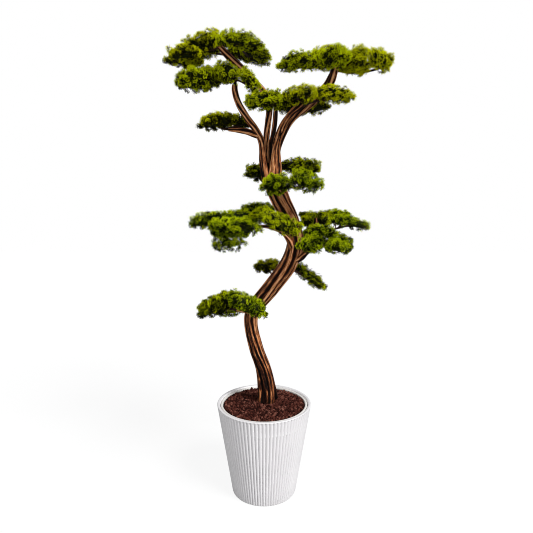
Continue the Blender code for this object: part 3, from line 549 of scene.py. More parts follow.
def grow(obj, tree, name, **values):
    """Runs the tree on the object, with its inputs set, and returns the result as a plain mesh object."""
    modifier = obj.modifiers.new("grow", "NODES")
    modifier.node_group = tree
    for item in tree.interface.items_tree:
        if item.in_out == "INPUT" and item.name in values:
            modifier[item.identifier] = values[item.name]
    graph = bpy.context.evaluated_depsgraph_get()
    mesh = bpy.data.meshes.new_from_object(obj.evaluated_get(graph))
    obj.modifiers.clear()
    mesh.name = name
    bpy.data.objects.remove(obj, do_unlink=True)
    grown = bpy.data.objects.new(name, mesh)
    bpy.context.scene.collection.objects.link(grown)
    return grown


def named(tree, label, kind="FLOAT"):
    made = node(tree, "GeometryNodeInputNamedAttribute", Name=label)
    made.data_type = kind
    return made.outputs["Attribute"]


def scatter_tree(name, materials):
    tree, given, out = node_tree(name, [("Kit", "Collection"), ("Size", "Float")])
    kit = node(tree, "GeometryNodeCollectionInfo", Collection=given["Kit"],
               Separate_Children=True, Reset_Children=True)
    size = maths(tree, "MULTIPLY", named(tree, "size"), given["Size"])
    place = node(tree, "GeometryNodeInstanceOnPoints", Points=given["Geometry"], Instance=kit.outputs[0],
                 Pick_Instance=True, Instance_Index=named(tree, "kind", "INT"),
                 Rotation=named(tree, "turn", "FLOAT_VECTOR"), Scale=size)
    flow = node(tree, "GeometryNodeRealizeInstances", Geometry=place.outputs[0]).outputs[0]
    depth = maths(tree, "SUBTRACT", named(tree, "shade"), named(tree, "inner"))
    for index, material in enumerate(materials):
        paint = node(tree, "GeometryNodeSetMaterial", Geometry=flow, Material=material)
        if index:
            feed(tree, paint.inputs["Selection"], maths(tree, "GREATER_THAN", depth, index - 0.5))
        flow = paint.outputs[0]
    feed(tree, out, flow)
    return tree


def points_object(name, points, turns, kinds, **values):
    """Points that carry the turn, the kind and the other values that a scatter reads."""
    obj = mesh_object(name, points, [], floats=values)
    add_values(obj.data, "kind", "INT", kinds)
    add_values(obj.data, "turn", "FLOAT_VECTOR", turns)
    return obj


def hidden_kit(name, shapes):
    """A collection of shapes that only a scatter uses."""
    kit = bpy.data.collections.new(name)
    for shape in shapes:
        for owner in list(shape.users_collection):
            owner.objects.unlink(shape)
        kit.objects.link(shape)
    return kit


def drop_kit(kit):
    for shape in list(kit.objects):
        bpy.data.objects.remove(shape, do_unlink=True)
    bpy.data.collections.remove(kit)


def turn_to(direction, spin):
    """The turn that points a shape's top along a direction and spins it about that."""
    return (Vector(direction).to_track_quat("Z", "Y") @ Euler((0, 0, spin)).to_quaternion()).to_euler()


# The pot


def pot_rib():
    """A sector of the pot as wide as one rib, from groove to groove, with lip, inside and foot."""
    columns = 12
    step = 2 * math.pi / POT_RIBS
    rib_top = POT_HEIGHT - RIB_TOP_DROP
    # Each row's height, how far it stands out from the plain wall, and how deep its grooves are
    rows = [(0.0, -0.0045, 0.0), (0.0006, -0.0022, 0.25), (0.0022, -0.0006, 0.8), (0.0045, 0.0, 1.0)]
    rows += [(h, 0.0, 1.0) for h in (0.06, 0.12, 0.18, 0.24, rib_top - 0.010)]
    for drop, share in ((0.005, 0.97), (0.0028, 0.80), (0.0012, 0.48), (0.0002, 0.12)):
        rows.append((rib_top - drop, 0.0, share))
    for drop, inward in ((0.0018, 0.0002), (0.0010, 0.0008), (0.0003, 0.0019), (0.0, 0.0034)):
        rows.append((POT_HEIGHT - drop, -inward, 0.0))
    places = [0.5 - 0.5 * math.cos(math.pi * column / columns) for column in range(columns + 1)]
    angles = [step * (place - 0.5) for place in places]
    dips = [GROOVE_DEPTH * (1 - math.sqrt(max(0.0, 1 - abs(2 * place - 1) ** 2.2))) for place in places]
    points = [(0.0, 0.0, 0.0)] * (columns + 1)
    for height, out, groove in rows:
        reach = POT_FOOT_RADIUS + (POT_TOP_RADIUS - POT_FOOT_RADIUS) * height / POT_HEIGHT + out
        points += [(*polar(reach - dip * groove, angle), height) for dip, angle in zip(dips, angles)]
    lip = POT_TOP_RADIUS - LIP_WIDTH
    shoulder = POT_HEIGHT - LINER_DROP - LINER_DEPTH
    inside = [(lip + 0.0034, POT_HEIGHT), (lip + 0.0014, POT_HEIGHT - 0.0008),
              (lip + 0.0003, POT_HEIGHT - 0.0024), (lip, POT_HEIGHT - 0.005), (lip, shoulder),
              (lip - LINER_WALL, shoulder), (0.099, POT_FLOOR), (0.0, POT_FLOOR)]
    points += [(*polar(r, angle), height) for r, height in inside for angle in angles]
    faces = grid_faces(1 + len(rows) + len(inside), columns + 1, wrap_columns=False)
    return mesh_object("pot_rib", points, faces)


def ring_tree(material):
    """Repeats a sector round the upright axis and closes the seams."""
    tree, given, out = node_tree("ring of ribs", [("Count", "Int"), ("Weld", "Float")])
    points = node(tree, "GeometryNodePoints", Count=given["Count"])
    step = maths(tree, "DIVIDE", 2 * math.pi, given["Count"])
    angle = maths(tree, "MULTIPLY", tree.nodes.new("GeometryNodeInputIndex").outputs[0], step)
    turn = node(tree, "ShaderNodeCombineXYZ", Z=angle)
    ring = node(tree, "GeometryNodeInstanceOnPoints", Points=points.outputs[0],
                Instance=given["Geometry"], Rotation=turn.outputs[0])
    real = node(tree, "GeometryNodeRealizeInstances", Geometry=ring.outputs[0])
    weld = node(tree, "GeometryNodeMergeByDistance", Geometry=real.outputs[0], Distance=given["Weld"])
    paint = node(tree, "GeometryNodeSetMaterial", Geometry=weld.outputs[0], Material=material)
    feed(tree, out, paint.outputs[0])
    return tree


def tidy_faces(obj):
    """Drops empty faces and turns the rest outwards."""
    bm = bmesh.new()
    bm.from_mesh(obj.data)
    bmesh.ops.dissolve_degenerate(bm, dist=1e-6, edges=bm.edges)
    bmesh.ops.recalc_face_normals(bm, faces=bm.faces)
    bm.to_mesh(obj.data)
    bm.free()
    return obj


def make_pot():
    pot = grow(pot_rib(), ring_tree(pot_material()), "ribbed_pot", Count=POT_RIBS, Weld=0.00001)
    keep(smooth(tidy_faces(pot), 50), "pot", "pot")


def make_liner():
    """The inner pot's rim: a rounded ring that stands a little below the lip."""
    outer = POT_TOP_RADIUS - LIP_WIDTH - GAP - 0.0012
    inner = POT_TOP_RADIUS - LIP_WIDTH - LINER_WALL + GAP
    high = POT_HEIGHT - LINER_DROP
    low = high - LINER_DEPTH + GAP
    edge = ((0.0, 0.004), (0.0004, 0.002), (0.0016, 0.0005), (0.003, 0.0))
    profile = [(outer, low)] + [(outer - inward, high - drop) for inward, drop in edge]
    profile += [(inner + inward, high - drop) for inward, drop in reversed(edge)] + [(inner, low)]
    sides = 160
    turns = [2 * math.pi * s / sides for s in range(sides)]
    points = [(*polar(r, turn), z) for r, z in profile for turn in turns]
    faces = grid_faces(len(profile), sides, wrap_rows=True)
    ring = tidy_faces(mesh_object("inner_pot_rim", points, faces, liner_material()))
    keep(smooth(ring, 50), "liner", "liner_rim")


# The granules

STONE_SHAPES = 6


def lava_stone(index):
    """An angular stone with a few dozen faces, about 1 across."""
    rng = random.Random(900 + index)
    bm = bmesh.new()
    bmesh.ops.create_icosphere(bm, subdivisions=1, radius=0.5)
    stretch = (rng.uniform(0.85, 1.25), rng.uniform(0.8, 1.1), rng.uniform(0.65, 0.95))
    for vert in bm.verts:
        push = 1 + 0.42 * noise.noise(vert.co * 2.6 + Vector((index * 7.3, 0, 0)))
        vert.co = Vector([c * push * s + rng.uniform(-0.05, 0.05) for c, s in zip(vert.co, stretch)])
    obj = mesh_object("stone_%d" % index, [], [])
    bm.to_mesh(obj.data)
    bm.free()
    return obj


def make_granules():
    """Two layers of stones over the filling, heaped a little towards the trunk's foot."""
    rng = random.Random(31)
    edge = POT_TOP_RADIUS - LIP_WIDTH - LINER_WALL
    foot = Vector(TRUNK_PATH[0][:2])
    points, turns, sizes, kinds, tones = [], [], [], [], []
    for layer, spacing in enumerate((0.0092, 0.0098)):
        rows = int(2 * edge / spacing)
        for row, column in product(range(rows), range(rows)):
            x = -edge + spacing * (column + 0.5 * (row % 2) + rng.uniform(-0.3, 0.5))
            y = -edge + spacing * (row + rng.uniform(-0.3, 0.5))
            near = (Vector((x, y)) - foot).length
            if math.hypot(x, y) > edge - 0.0055 or near < 0.034:
                continue
            heap = 0.0055 * math.exp(-((near - 0.036) / 0.018) ** 2)
            height = SOIL_TOP - 0.0050 + 0.0030 * layer + heap + rng.uniform(-0.0012, 0.0012)
            points.append((x, y, height))
            turns.append([any_angle(rng) for _ in range(3)])
            sizes.append(rng.uniform(0.0085, 0.0135))
            kinds.append(rng.randrange(STONE_SHAPES))
            tones.append(min(1.0, max(0.0, rng.gauss(0.5, 0.25))))
    stones = hidden_kit("stones", [lava_stone(index) for index in range(STONE_SHAPES)])
    holder = points_object("granule_points", points, turns, kinds, size=sizes, tone=tones)
    lava = lava_material()
    top = grow(holder, scatter_tree("strewn stones", [lava]), "granule_layer", Kit=stones, Size=1.0)
    drop_kit(stones)
    keep(top, "granules")
    for slot in frame["nodes"]["granules"].material_slots:
        slot.material = lava


# The limbs, as bundles of strands


def sampled(path, count):
    """Points and radii at even steps along a path."""
    samples = [curve_point(path, index / (count - 1)) for index in range(count)]
    return np.array([tuple(p) for p, _ in samples]), np.array([r for _, r in samples])


def tangents_of(centres):
    return unit(np.gradient(centres, axis=0))


def run_along(centres):
    """How long a line is up to each of its points."""
    return np.concatenate([[0], np.cumsum(np.linalg.norm(np.diff(centres, axis=0), axis=1))])


def square_to(vectors, tangents):
    """What is left of the vectors across the tangents, made 1 long."""
    return unit(vectors - tangents * (vectors * tangents).sum(axis=1)[:, None])


def turned_frames(centres):
    """Two side directions along a line, turned as little as can be."""
    tangents = tangents_of(centres)
    side = np.array((1.0, 0.0, 0.0)) if abs(tangents[0][0]) < 0.9 else np.array((0.0, 1.0, 0.0))
    sides = []
    for tangent in tangents:
        side = unit(side - tangent * side.dot(tangent))
        sides.append(side)
    return np.array(sides), np.cross(tangents, sides)


def tube_faces(rings, columns):
    """The faces of a tube from rings of points one after another, closed at both ends."""
    ends = [tuple(range(columns))[::-1], tuple(range((rings - 1) * columns, rings * columns))]
    return grid_faces(rings, columns) + ends


def add_tube(stack, centres, radii, columns, **values):
    """A round closed tube along the centres."""
    centres = np.array(centres)
    side, other = turned_frames(centres)
    turn = np.linspace(0, 2 * math.pi, columns, endpoint=False)[None, :, None]
    ring = np.cos(turn) * side[:, None, :] + np.sin(turn) * other[:, None, :]
    points = centres[:, None, :] + ring * np.array(radii)[:, None, None]
    stack.add(points.reshape(-1, 3), tube_faces(len(centres), columns), **values)


Strand = namedtuple("Strand", "centres outward deep wide tone")
STRAND_TIP = 0.0006
STRAND_RELIEF = 0.13
PATH_SAMPLES = 80

# The angles round the trunk's foot, in degrees, at which its strands gather into root legs, and how far
# each leg splays out; then how strongly they gather, and up to what shares of the trunk's length
ROOT_LEGS = {-142: 0.14, -78: 0.10, 33: 0.34, 125: 0.14}
LEG_PULL = 0.55
LEG_TOP = 0.085
SPLAY_TOP = 0.06


def gathered(angle, along):
    """Draws a strand's angle near the foot towards its root leg, and gives how far it splays out."""
    ways = {leg: math.remainder(math.radians(leg) - angle[0], 2 * math.pi) for leg in ROOT_LEGS}
    leg = min(ways, key=lambda a: abs(ways[a]))
    angle = angle + LEG_PULL * ways[leg] * np.exp(-(along / LEG_TOP) ** 2)
    return angle, 1 + ROOT_LEGS[leg] * np.exp(-(along / SPLAY_TOP) ** 2)


def bundle(path, count, strands, twist, rng, spread, sunken, legs=False):
    """A limb as strands that lie side by side round its axis and wind slowly as they climb."""
    centres, radii = sampled(path, count)
    side, other = turned_frames(centres)
    widths = np.array([rng.uniform(0.40, 1.75) for _ in range(strands)])
    widths *= 2 * math.pi / widths.sum()
    along = np.linspace(0, 1, count)
    made = []
    for place, width in zip(np.cumsum(widths) - widths / 2, widths):
        sway = 0.14 * np.sin(along * rng.uniform(5, 9) + any_angle(rng))
        angle, splay = place + twist * along + sway, 1
        if legs:
            angle, splay = gathered(angle, along)
        outward = np.cos(angle)[:, None] * side + np.sin(angle)[:, None] * other
        swell = 1 + 0.12 * np.sin(along * rng.uniform(9, 20) + any_angle(rng))
        low = rng.random() < sunken
        lie = spread * (0.80 if low else rng.uniform(0.92, 1.05)) * splay
        deep = radii * (1 - spread) * swell
        wide = radii * spread * min(width, 1.5) * 0.54 * swell
        # A sunken strand gets painted shade, a darker tone for its recess; the other strands differ in
        # tone at random.
        tone = rng.uniform(-0.9, -0.4) if low else rng.uniform(-0.35, 0.75)
        made.append(Strand(centres + outward * (radii * lie)[:, None], outward, deep, wide, tone))
    return made


def led_on(strand, path, reach, count):
    """Carries a strand on over a bough's side, where it thins out and melts into it."""
    centres, radii = sampled(path, PATH_SAMPLES)
    length = run_along(centres)
    places = np.linspace(0, min(reach, length[-1] * 0.9), count)[1:]
    axis = np.stack([np.interp(places, length, centres[:, k]) for k in range(3)], axis=1)
    tangents = tangents_of(axis)
    start = strand.centres[-1] - centres[0]
    start -= tangents[0] * start.dot(tangents[0])
    outward = square_to(start, tangents)
    share = places / places[-1]
    settle = np.exp(-3.2 * share)
    offset = np.interp(places, length, radii) * 0.72 * (1 - settle) + np.linalg.norm(start) * settle
    fade = 1 - share ** 1.6
    carried = (axis + outward * offset[:, None], outward,
               strand.deep[-1] * fade + STRAND_TIP, strand.wide[-1] * fade + STRAND_TIP)
    return Strand(*[np.concatenate(pair) for pair in zip(strand, carried)], strand.tone)


def add_strand(stack, strand, columns, rng):
    """The strand as a closed tube with fine ridges that run along it."""
    centres = strand.centres
    count = len(centres)
    tangents = tangents_of(centres)
    outward = square_to(strand.outward, tangents)
    across = np.cross(tangents, outward)
    run = run_along(centres)
    turn = np.linspace(0, 2 * math.pi, columns, endpoint=False)
    ridges = np.zeros((count, columns))
    for waves in (3, 5, 7):
        drift = rng.uniform(-9, 9) * run + 0.8 * np.sin(run * rng.uniform(20, 60) + any_angle(rng))
        ridges += np.sin(waves * turn[None, :] + drift[:, None] + any_angle(rng)) / waves ** 0.7
    ridges /= 1.6
    swell = 1 + STRAND_RELIEF * ridges
    points = (centres[:, None, :]
              + outward[:, None, :] * (strand.deep[:, None] * np.cos(turn) * swell)[:, :, None]
              + across[:, None, :] * (strand.wide[:, None] * np.sin(turn) * swell)[:, :, None])
    # Painted light: each strand's outward crest is painted lighter as a highlight, and its sides and fine
    # grooves darker as painted shade.
    painted_crest_light = 0.5 + 0.5 * np.cos(turn)
    ridge = np.clip(-0.10 + 0.76 * painted_crest_light[None, :] ** 3.2 + 0.28 * ridges, -0.4, 1)
    around = turn[None, :] * np.maximum(strand.wide, 0.003).mean() + 0 * run[:, None]
    uvs = np.stack([around, run[:, None] + 0 * around], axis=2) + rng.uniform(0, 5)
    # The bark is coloured darker downwards, and painted shade darkens it most of all just over the
    # granules.
    heights = points[:, :, 2]
    low_darkening_and_painted_shade = 0.14 * np.clip((0.62 - heights) / 0.20, 0, 1) + 0.20 * np.exp((SOIL_TOP - heights) / 0.028)
    stack.add(points.reshape(-1, 3), tube_faces(count, columns), uvs.reshape(-1, 2),
              ridge=(ridge - low_darkening_and_painted_shade).ravel(), tone=strand.tone)


def add_heart(stack, path, count, columns, share):
    """The middle of a bundle, painted dark as the shade between its strands, which closes the gaps between
    them.
    """
    centres, radii = sampled(path, count)
    uvs = np.zeros((count * columns, 2))
    add_tube(stack, centres, radii * share, columns, uvs=uvs, ridge=0.22, tone=-0.1)


def rooted_path(bough):
    """The bough's path, begun inside the trunk where it stands on the fork's flat cut."""
    roots = []
    if bough.carrier is None:
        *start, radius = bough.path[0]
        offset = Vector(start) - curve_point(TRUNK_PATH, 1.0)[0]
        for place in (0.905, 0.955):
            centre = curve_point(TRUNK_PATH, place)[0] + offset * (0.55 + 0.45 * (place - 0.9) / 0.1)
            roots.append((*centre, radius * 0.9))
    return roots + bough.path


# How far the trunk's strands wind over its length, and a bough's over each metre
TRUNK_WIND = math.radians(-115)
BOUGH_WIND = 7


def make_trunk(bark):
    rng = random.Random(5)
    stack = Stack()
    # Its heart is fuller at the foot, where the strands part into legs.
    filling = 0.64 + 0.14 * np.exp(-(np.linspace(0, 1, PATH_SAMPLES) / 0.14) ** 2)
    add_heart(stack, TRUNK_PATH, PATH_SAMPLES, 24, filling)
    standing = [bough for bough in BOUGHS.values() if bough.carrier is None]
    rings = 330
    for strand in bundle(TRUNK_PATH, rings, 11, TRUNK_WIND, rng, spread=0.77, sunken=0.36, legs=True):
        end = Vector(strand.centres[-1])
        bough = min(standing, key=lambda b: (Vector(b.path[0][:3]) - end).length - b.path[0][3])
        add_strand(stack, led_on(strand, bough.path, rng.uniform(0.05, 0.15), 40), 14, rng)
    keep(smooth(stack.build("trunk_bark", bark)), "bark", "trunk")


def make_boughs(bark):
    rng = random.Random(8)
    for part, names in (("upper", list(BOUGHS)[:9]), ("lower", list(BOUGHS)[9:])):
        stack = Stack()
        for name in names:
            bough = BOUGHS[name]
            path = rooted_path(bough)
            length = sum((Vector(b[:3]) - Vector(a[:3])).length for a, b in zip(path, path[1:]))
            rings = max(20, int(length / (0.003)))
            add_heart(stack, path, max(8, rings // 4), 12, 0.60)
            wind = rng.choice((-1, 1)) * length * BOUGH_WIND
            for strand in bundle(path, rings, bough.strands, wind, rng, spread=0.66, sunken=0.2):
                add_strand(stack, strand._replace(tone=strand.tone + bough.lift), 12, rng)
        piece = smooth(stack.build("bough_bark_" + part, bark))
        keep(piece, "bark", *["bough_" + name for name in names])


# The masses of foliage


def extent_along(mass, normal):
    local = mass_frame(mass).transposed() @ normal
    return math.sqrt(sum((half * part) ** 2 for half, part in zip(mass.half, local)))


def seed_of(mass):
    return MASSES.index(mass)


def own_lobes(mass):
    return mass_lobes(mass, random.Random(seed_of(mass)))


def walls_round(mass):
    """The planes between a mass and its neighbours: their normals and how far out they lie."""
    walls = []
    for other in MASSES:
        if other is mass:
            continue
        apart = Vector(other.centre) - Vector(mass.centre)
        widths = [(own + its) / 2 for own, its in zip(mass.half, other.half)]
        normal = Vector([part / width ** 2 for part, width in zip(apart, widths)]).normalized()
        own, its = extent_along(mass, normal), extent_along(other, normal)
        walls.append((np.array(normal), apart.dot(normal) * own / (own + its) - CLEARANCE))
    return walls


def full(units):
    """Stretches points of the unit ball to the cushion's fuller edges."""
    length = np.linalg.norm(units, axis=1, keepdims=True) + 1e-9
    ray = np.abs(units / length)
    return units * (ray ** CORE_FULLNESS).sum(axis=1, keepdims=True) ** (-1 / CORE_FULLNESS)


def placed(mass, units):
    """Points of the unit ball, put in the mass's place."""
    local = full(units) * (np.array(mass.half) - CORE_INSET)
    local[:, 2] = np.where(local[:, 2] < 0, local[:, 2] * CORE_FLATNESS, local[:, 2])
    return local @ np.array(mass_frame(mass)).T + np.array(mass.centre)


def even_directions(count, rng):
    """Directions strewn evenly over a ball."""
    index = np.arange(count) + 0.5
    height = 1 - 2 * index / count
    turn = index * math.pi * (3 - math.sqrt(5)) + any_angle(rng)
    around = np.sqrt(1 - height * height)
    return np.stack([around * np.cos(turn), around * np.sin(turn), height], axis=1)


# Points and radii along all the limbs, to keep sprigs off them
LIMBS = np.concatenate([np.column_stack(sampled(path, 90))
                        for path in [TRUNK_PATH] + [bough.path for bough in BOUGHS.values()]])

# The masses through whose lower half the sky shows, and how much of it stays closed
LACY = {"arm_drop": 0.55, "arm_low": 0.85, "waist_front": 0.85}

# How far apart the sprigs stand and how far in they are set, the small rounded puffs that they form,
# and how unevenly their light is dealt out
SPRIG_SPACING = 0.0137
SPRIG_INSET = 0.0070
PUFF_PITCH = 0.021
PUFF_RADIUS = 0.0150
PUFF_HEIGHT = 0.0105
PUFF_UNEVEN = 0.10
SPRIG_UNEVEN = 0.27


def lobe_points(mass, rng):
    """Points strewn evenly over the lobes of a mass, their normals and how far each is from a crease."""
    half = np.array(mass.half)
    turn = np.array(mass_frame(mass))
    centres, radii = (np.array(values) for values in zip(*own_lobes(mass)))
    spacing = SPRIG_SPACING * 1.0
    spots, outs, creases = [], [], []
    for lobe, (middle, radius) in enumerate(zip(centres, radii)):
        axes = radius * half
        a, b, c = (axes[[0, 0, 1]] * axes[[1, 2, 2]]) ** 1.6
        area = 4 * math.pi * ((a + b + c) / 3) ** (1 / 1.6)
        rays = even_directions(max(12, int(area / spacing ** 2 * 1.9)), rng)
        rays = unit(rays + rng.normal(0, 0.06, rays.shape))
        stretch = np.sqrt(((rays / axes) ** 2).sum(axis=1))
        rays = rays[rng.random(len(rays)) < stretch / stretch.max()]
        units = middle + rays * radius
        away = np.linalg.norm(units[:, None, :] - centres[None], axis=2) - radii[None]
        away[:, lobe] = np.inf
        nearest = away.min(axis=1)
        bare = nearest > -0.015  # not buried in a neighbouring lobe
        if bare.any():
            spots.append(placed(mass, units[bare]))
            outs.append(unit((rays[bare] / half) @ turn.T))
            creases.append(np.clip(nearest[bare] / 0.16, 0, 1))
    return np.concatenate(spots), np.concatenate(outs), np.concatenate(creases)


def sprig_places(mass, rng):
    """Where the sprigs of a mass stand: points over its lobes, their directions and their light."""
    spots, outs, crease = lobe_points(mass, rng)
    centre = np.array(mass.centre)
    ok = np.ones(len(spots), dtype=bool)
    for normal, distance in walls_round(mass):
        ok &= (spots - centre) @ normal < distance + 0.002
    gaps = np.linalg.norm(spots[:, None, :] - LIMBS[None, :, :3], axis=2) - LIMBS[None, :, 3]
    ok &= gaps.min(axis=1) > 0.004
    ok &= (outs[:, 2] >= -0.45) | (rng.random(len(spots)) < 0.75)
    if mass.name in LACY:
        ok &= (outs[:, 2] > 0.25) | (rng.random(len(spots)) < LACY[mass.name])
    spots, outs, crease = spots[ok], outs[ok], crease[ok]
    middles, tones = puff_middles(spots, rng)
    apart = np.linalg.norm(spots[:, None, :] - middles[None], axis=2)
    own = apart.argmin(axis=1)
    puff = np.clip(1 - (apart.min(axis=1) / PUFF_RADIUS) ** 2, -0.5, 1.0)
    ways = unit(outs + 0.55 * (spots - middles[own]) / PUFF_RADIUS)
    patch = np.array([noise.noise(Vector(p) * 19 + Vector((3, 1, 7))) for p in spots])
    thick = mass.half[2]
    spots = spots + outs * (PUFF_HEIGHT * (puff - 0.5) - min(SPRIG_INSET, 0.5 * thick))[:, None]
    rise = np.clip(((spots - centre) @ np.array(mass_frame(mass)))[:, 2] / thick, -1, 1)
    # Painted light: sprigs facing up, high on the mass and on the crowns of puffs are lighter, and painted
    # shade darkens creases and undersides; patches and tones differ at random.
    light = 0.59 + 0.12 * ways[:, 2] + 0.13 * rise
    light += 0.30 * (puff - 0.4) + 0.13 * patch + 0.24 * (crease - 0.6)
    light += tones[own] + rng.normal(0, SPRIG_UNEVEN, len(spots)) - 0.16 * (outs[:, 2] < -0.3)
    return spots, ways, light


def puff_middles(spots, rng):
    """Evenly strewn middles of the small rounded puffs that a clipped mass is made of."""
    chosen = np.empty((0, 3))
    for index in rng.permutation(len(spots)):
        if not len(chosen) or np.linalg.norm(chosen - spots[index], axis=1).min() > PUFF_PITCH:
            chosen = np.vstack([chosen, spots[index]])
    return chosen, rng.normal(0, PUFF_UNEVEN, len(chosen))


# Small tufts on the twigs beside masses: their ends, how far they reach out, their sprigs and light
Tuft = namedtuple("Tuft", "beside start end reach count light")
TUFTS = [
    Tuft("crown_tip", (-0.232, -0.035, 1.404), (-0.196, -0.030, 1.416), 0.018, 180, -0.10),
    Tuft("right_outer", (0.240, 0.022, 1.410), (0.314, 0.027, 1.402), 0.015, 210, -0.08),
    Tuft("arm_low", (-0.148, -0.118, 0.903), (-0.062, -0.120, 0.906), 0.016, 210, -0.04),
    Tuft("east_top", (0.128, 0.015, 0.951), (0.144, -0.020, 0.926), 0.016, 110, 0.0),
]


def tuft_places(tuft, rng):
    """Where the sprigs of a small tuft stand, all round the twig that carries it."""
    start, end = np.array(tuft.start), np.array(tuft.end)
    ways = unit(rng.normal(0, 1, (tuft.count, 3)))
    out = (tuft.reach - 0.0065) * rng.uniform(0.7, 1.05, (tuft.count, 1))
    spots = start + (end - start) * rng.random((tuft.count, 1)) + ways * out * np.array((1.0, 1.0, 0.8))
    # Painted light: sprigs facing up are lighter; the rest differs at random.
    light = 0.58 + 0.25 * ways[:, 2] + tuft.light + rng.normal(0, SPRIG_UNEVEN, tuft.count)
    return spots, ways, light


def leaflet(base, axis, flat, length, width):
    """A leaf folded along its midrib: four points and two faces."""
    lift = np.cross(axis, flat) * width * 0.18
    middle = base + axis * length * 0.45 + lift
    return [base, middle + flat * width / 2, base + axis * length, middle - flat * width / 2]


# Each pair of leaves on a shoot: how far up it sits, its leaf's length, how wide it opens and
# how many shades deeper than the shoot's tip it is.
LEAF_PAIRS = ((0.42, 0.0042, 1.0, 3.0), (0.78, 0.0038, 0.80, 0.3))
SHOOTS = 11
WIDEST_LEAN = 1.45
SPRIG_SHAPES = 5

# A sprig's light, from 0 to 1, times this is its place among its family's six colours
SHADES = 5.6


def sprig_shape(index):
    """A rounded tuft of bent shoots with crossed pairs of small leaves and a pointed tip."""
    rng = random.Random(400 + index)
    points, faces, inner = [], [], []

    def add_leaf(leaf, depth):
        start = len(points)
        points.extend(leaf)
        faces.extend([(start, start + 1, start + 2), (start, start + 2, start + 3)])
        inner.extend([depth] * 4)

    shoots = []
    for turn in range(SHOOTS):
        lean = math.acos(1 - (turn + 0.5) / SHOOTS * (1 - math.cos(WIDEST_LEAN)))
        shoots.append((lean + rng.uniform(-0.12, 0.12), turn * 2.4 + rng.uniform(-0.3, 0.3),
                       rng.uniform(0.0056, 0.0076)))
    for lean, angle, length in shoots:
        set_off = np.array((*polar(math.sin(lean), angle), math.cos(lean)))
        bend = np.array((rng.uniform(-0.2, 0.2), rng.uniform(-0.2, 0.2), 0.18))
        spin = rng.uniform(0, math.pi)
        own = rng.choice((-0.5, -0.1, 0.3, 1.0))

        def along(place):
            return (set_off * place + bend * place * place) * length, unit(set_off + bend * 2 * place)

        for pair, (place, size, opening, depth) in enumerate(LEAF_PAIRS):
            base, axis = along(place)
            side = unit(np.cross(axis, (math.cos(spin), math.sin(spin), 0.35)))
            other = np.cross(axis, side)
            if pair % 2:
                side, other = other, side
            for sign in (-1, 1):
                opened = opening + rng.uniform(-0.15, 0.15)
                way = axis * math.cos(opened) + side * sign * math.sin(opened)
                long = size * rng.uniform(0.88, 1.12)
                add_leaf(leaflet(base, way, other, long, long * 0.52), depth + own)
        base, axis = along(0.92)
        add_leaf(leaflet(base, axis, side, 0.0038, 0.0021), own - 1.1)
    return mesh_object("sprig_%d" % index, points, faces, floats={"inner": inner})


# The leaf colours run from painted deep shade to painted light on fresh tips, in three families.
LEAF_COLOURS = {
    "olive": [(8, 9, 0), (29, 31, 0), (67, 73, 0), (116, 125, 0), (165, 175, 0), (200, 210, 12)],
    "yellow": [(10, 10, 0), (40, 39, 0), (89, 90, 0), (141, 145, 0), (186, 190, 0), (212, 214, 12)],
    "green": [(8, 10, 0), (25, 31, 0), (58, 71, 0), (101, 120, 0), (147, 167, 2), (186, 200, 18)],
}


def leaf_groups():
    """The masses of each piece of leaves: a cluster's, parted by their leaves' family."""
    groups = {}
    for mass in MASSES:
        groups.setdefault((cluster_of(mass), mass.family), []).append(mass)
    return groups


def make_leaves():
    kit = hidden_kit("sprigs", [sprig_shape(index) for index in range(SPRIG_SHAPES)])
    trees = {family: scatter_tree(family + " sprigs", leaf_family(family)) for family in LEAF_COLOURS}
    for (cluster, family), masses in leaf_groups().items():
        points, turns, sizes, kinds, shades = [], [], [], [], []

        def plant(spots, ways, light, rng):
            for spot, way, value in zip(spots, ways, light):
                points.append(spot)
                turns.append(turn_to(way, any_angle(rng)))
                sizes.append(rng.uniform(0.80, 1.15))
                kinds.append(int(rng.integers(SPRIG_SHAPES)))
                shades.append(float(np.clip(value * SHADES, 0.2, 5.2)))

        for mass in masses:
            rng = np.random.default_rng(seed_of(mass))
            spots, outs, light = sprig_places(mass, rng)
            ways = outs + np.array((0, 0, 0.15)) + rng.normal(0, 0.25, outs.shape)
            plant(spots, ways, light + mass.light, rng)
            for number, tuft in enumerate(TUFTS):
                if tuft.beside == mass.name:
                    rng = np.random.default_rng(900 + number)
                    spots, ways, light = tuft_places(tuft, rng)
                    plant(spots, ways, light + mass.light, rng)
        holder = points_object("sprig_points", points, turns, kinds, size=sizes, shade=shades)
        name = "leaves_%s_%s" % (cluster, family)
        leaves = grow(holder, trees[family], name, Kit=kit, Size=1.0)
        keep(leaves, "foliage", *["foliage_" + mass.name for mass in masses])
    drop_kit(kit)


# How far the dark inside of a mass stays below its lobes, and the least of their reach that it keeps
CORE_DEPTH = 0.0125
CORE_LEAST = 0.5


def core_points(mass, columns, rows):
    """Points round the inside of a mass, a fixed depth below its lobes and clear of its neighbours."""
    lobes = own_lobes(mass)
    walls = walls_round(mass)
    centre = np.array(mass.centre)
    points = []
    for row, column in product(range(rows + 1), range(columns)):
        tilt, turn = math.pi * row / rows, 2 * math.pi * column / columns
        ray = (*polar(math.sin(tilt), turn), math.cos(tilt))
        way = placed(mass, np.array([ray]) * lobe_reach(lobes, ray))[0] - centre
        reach = np.linalg.norm(way)
        reach = max(reach - CORE_DEPTH, CORE_LEAST * reach) * LACY.get(mass.name, 1.0)
        for normal, distance in walls:
            along = (way / reach) @ normal
            if along > 0:
                reach = min(reach, max(distance - 0.004, 0.004) / along)
        points.append(centre + unit(way) * reach)
    return np.array(points)


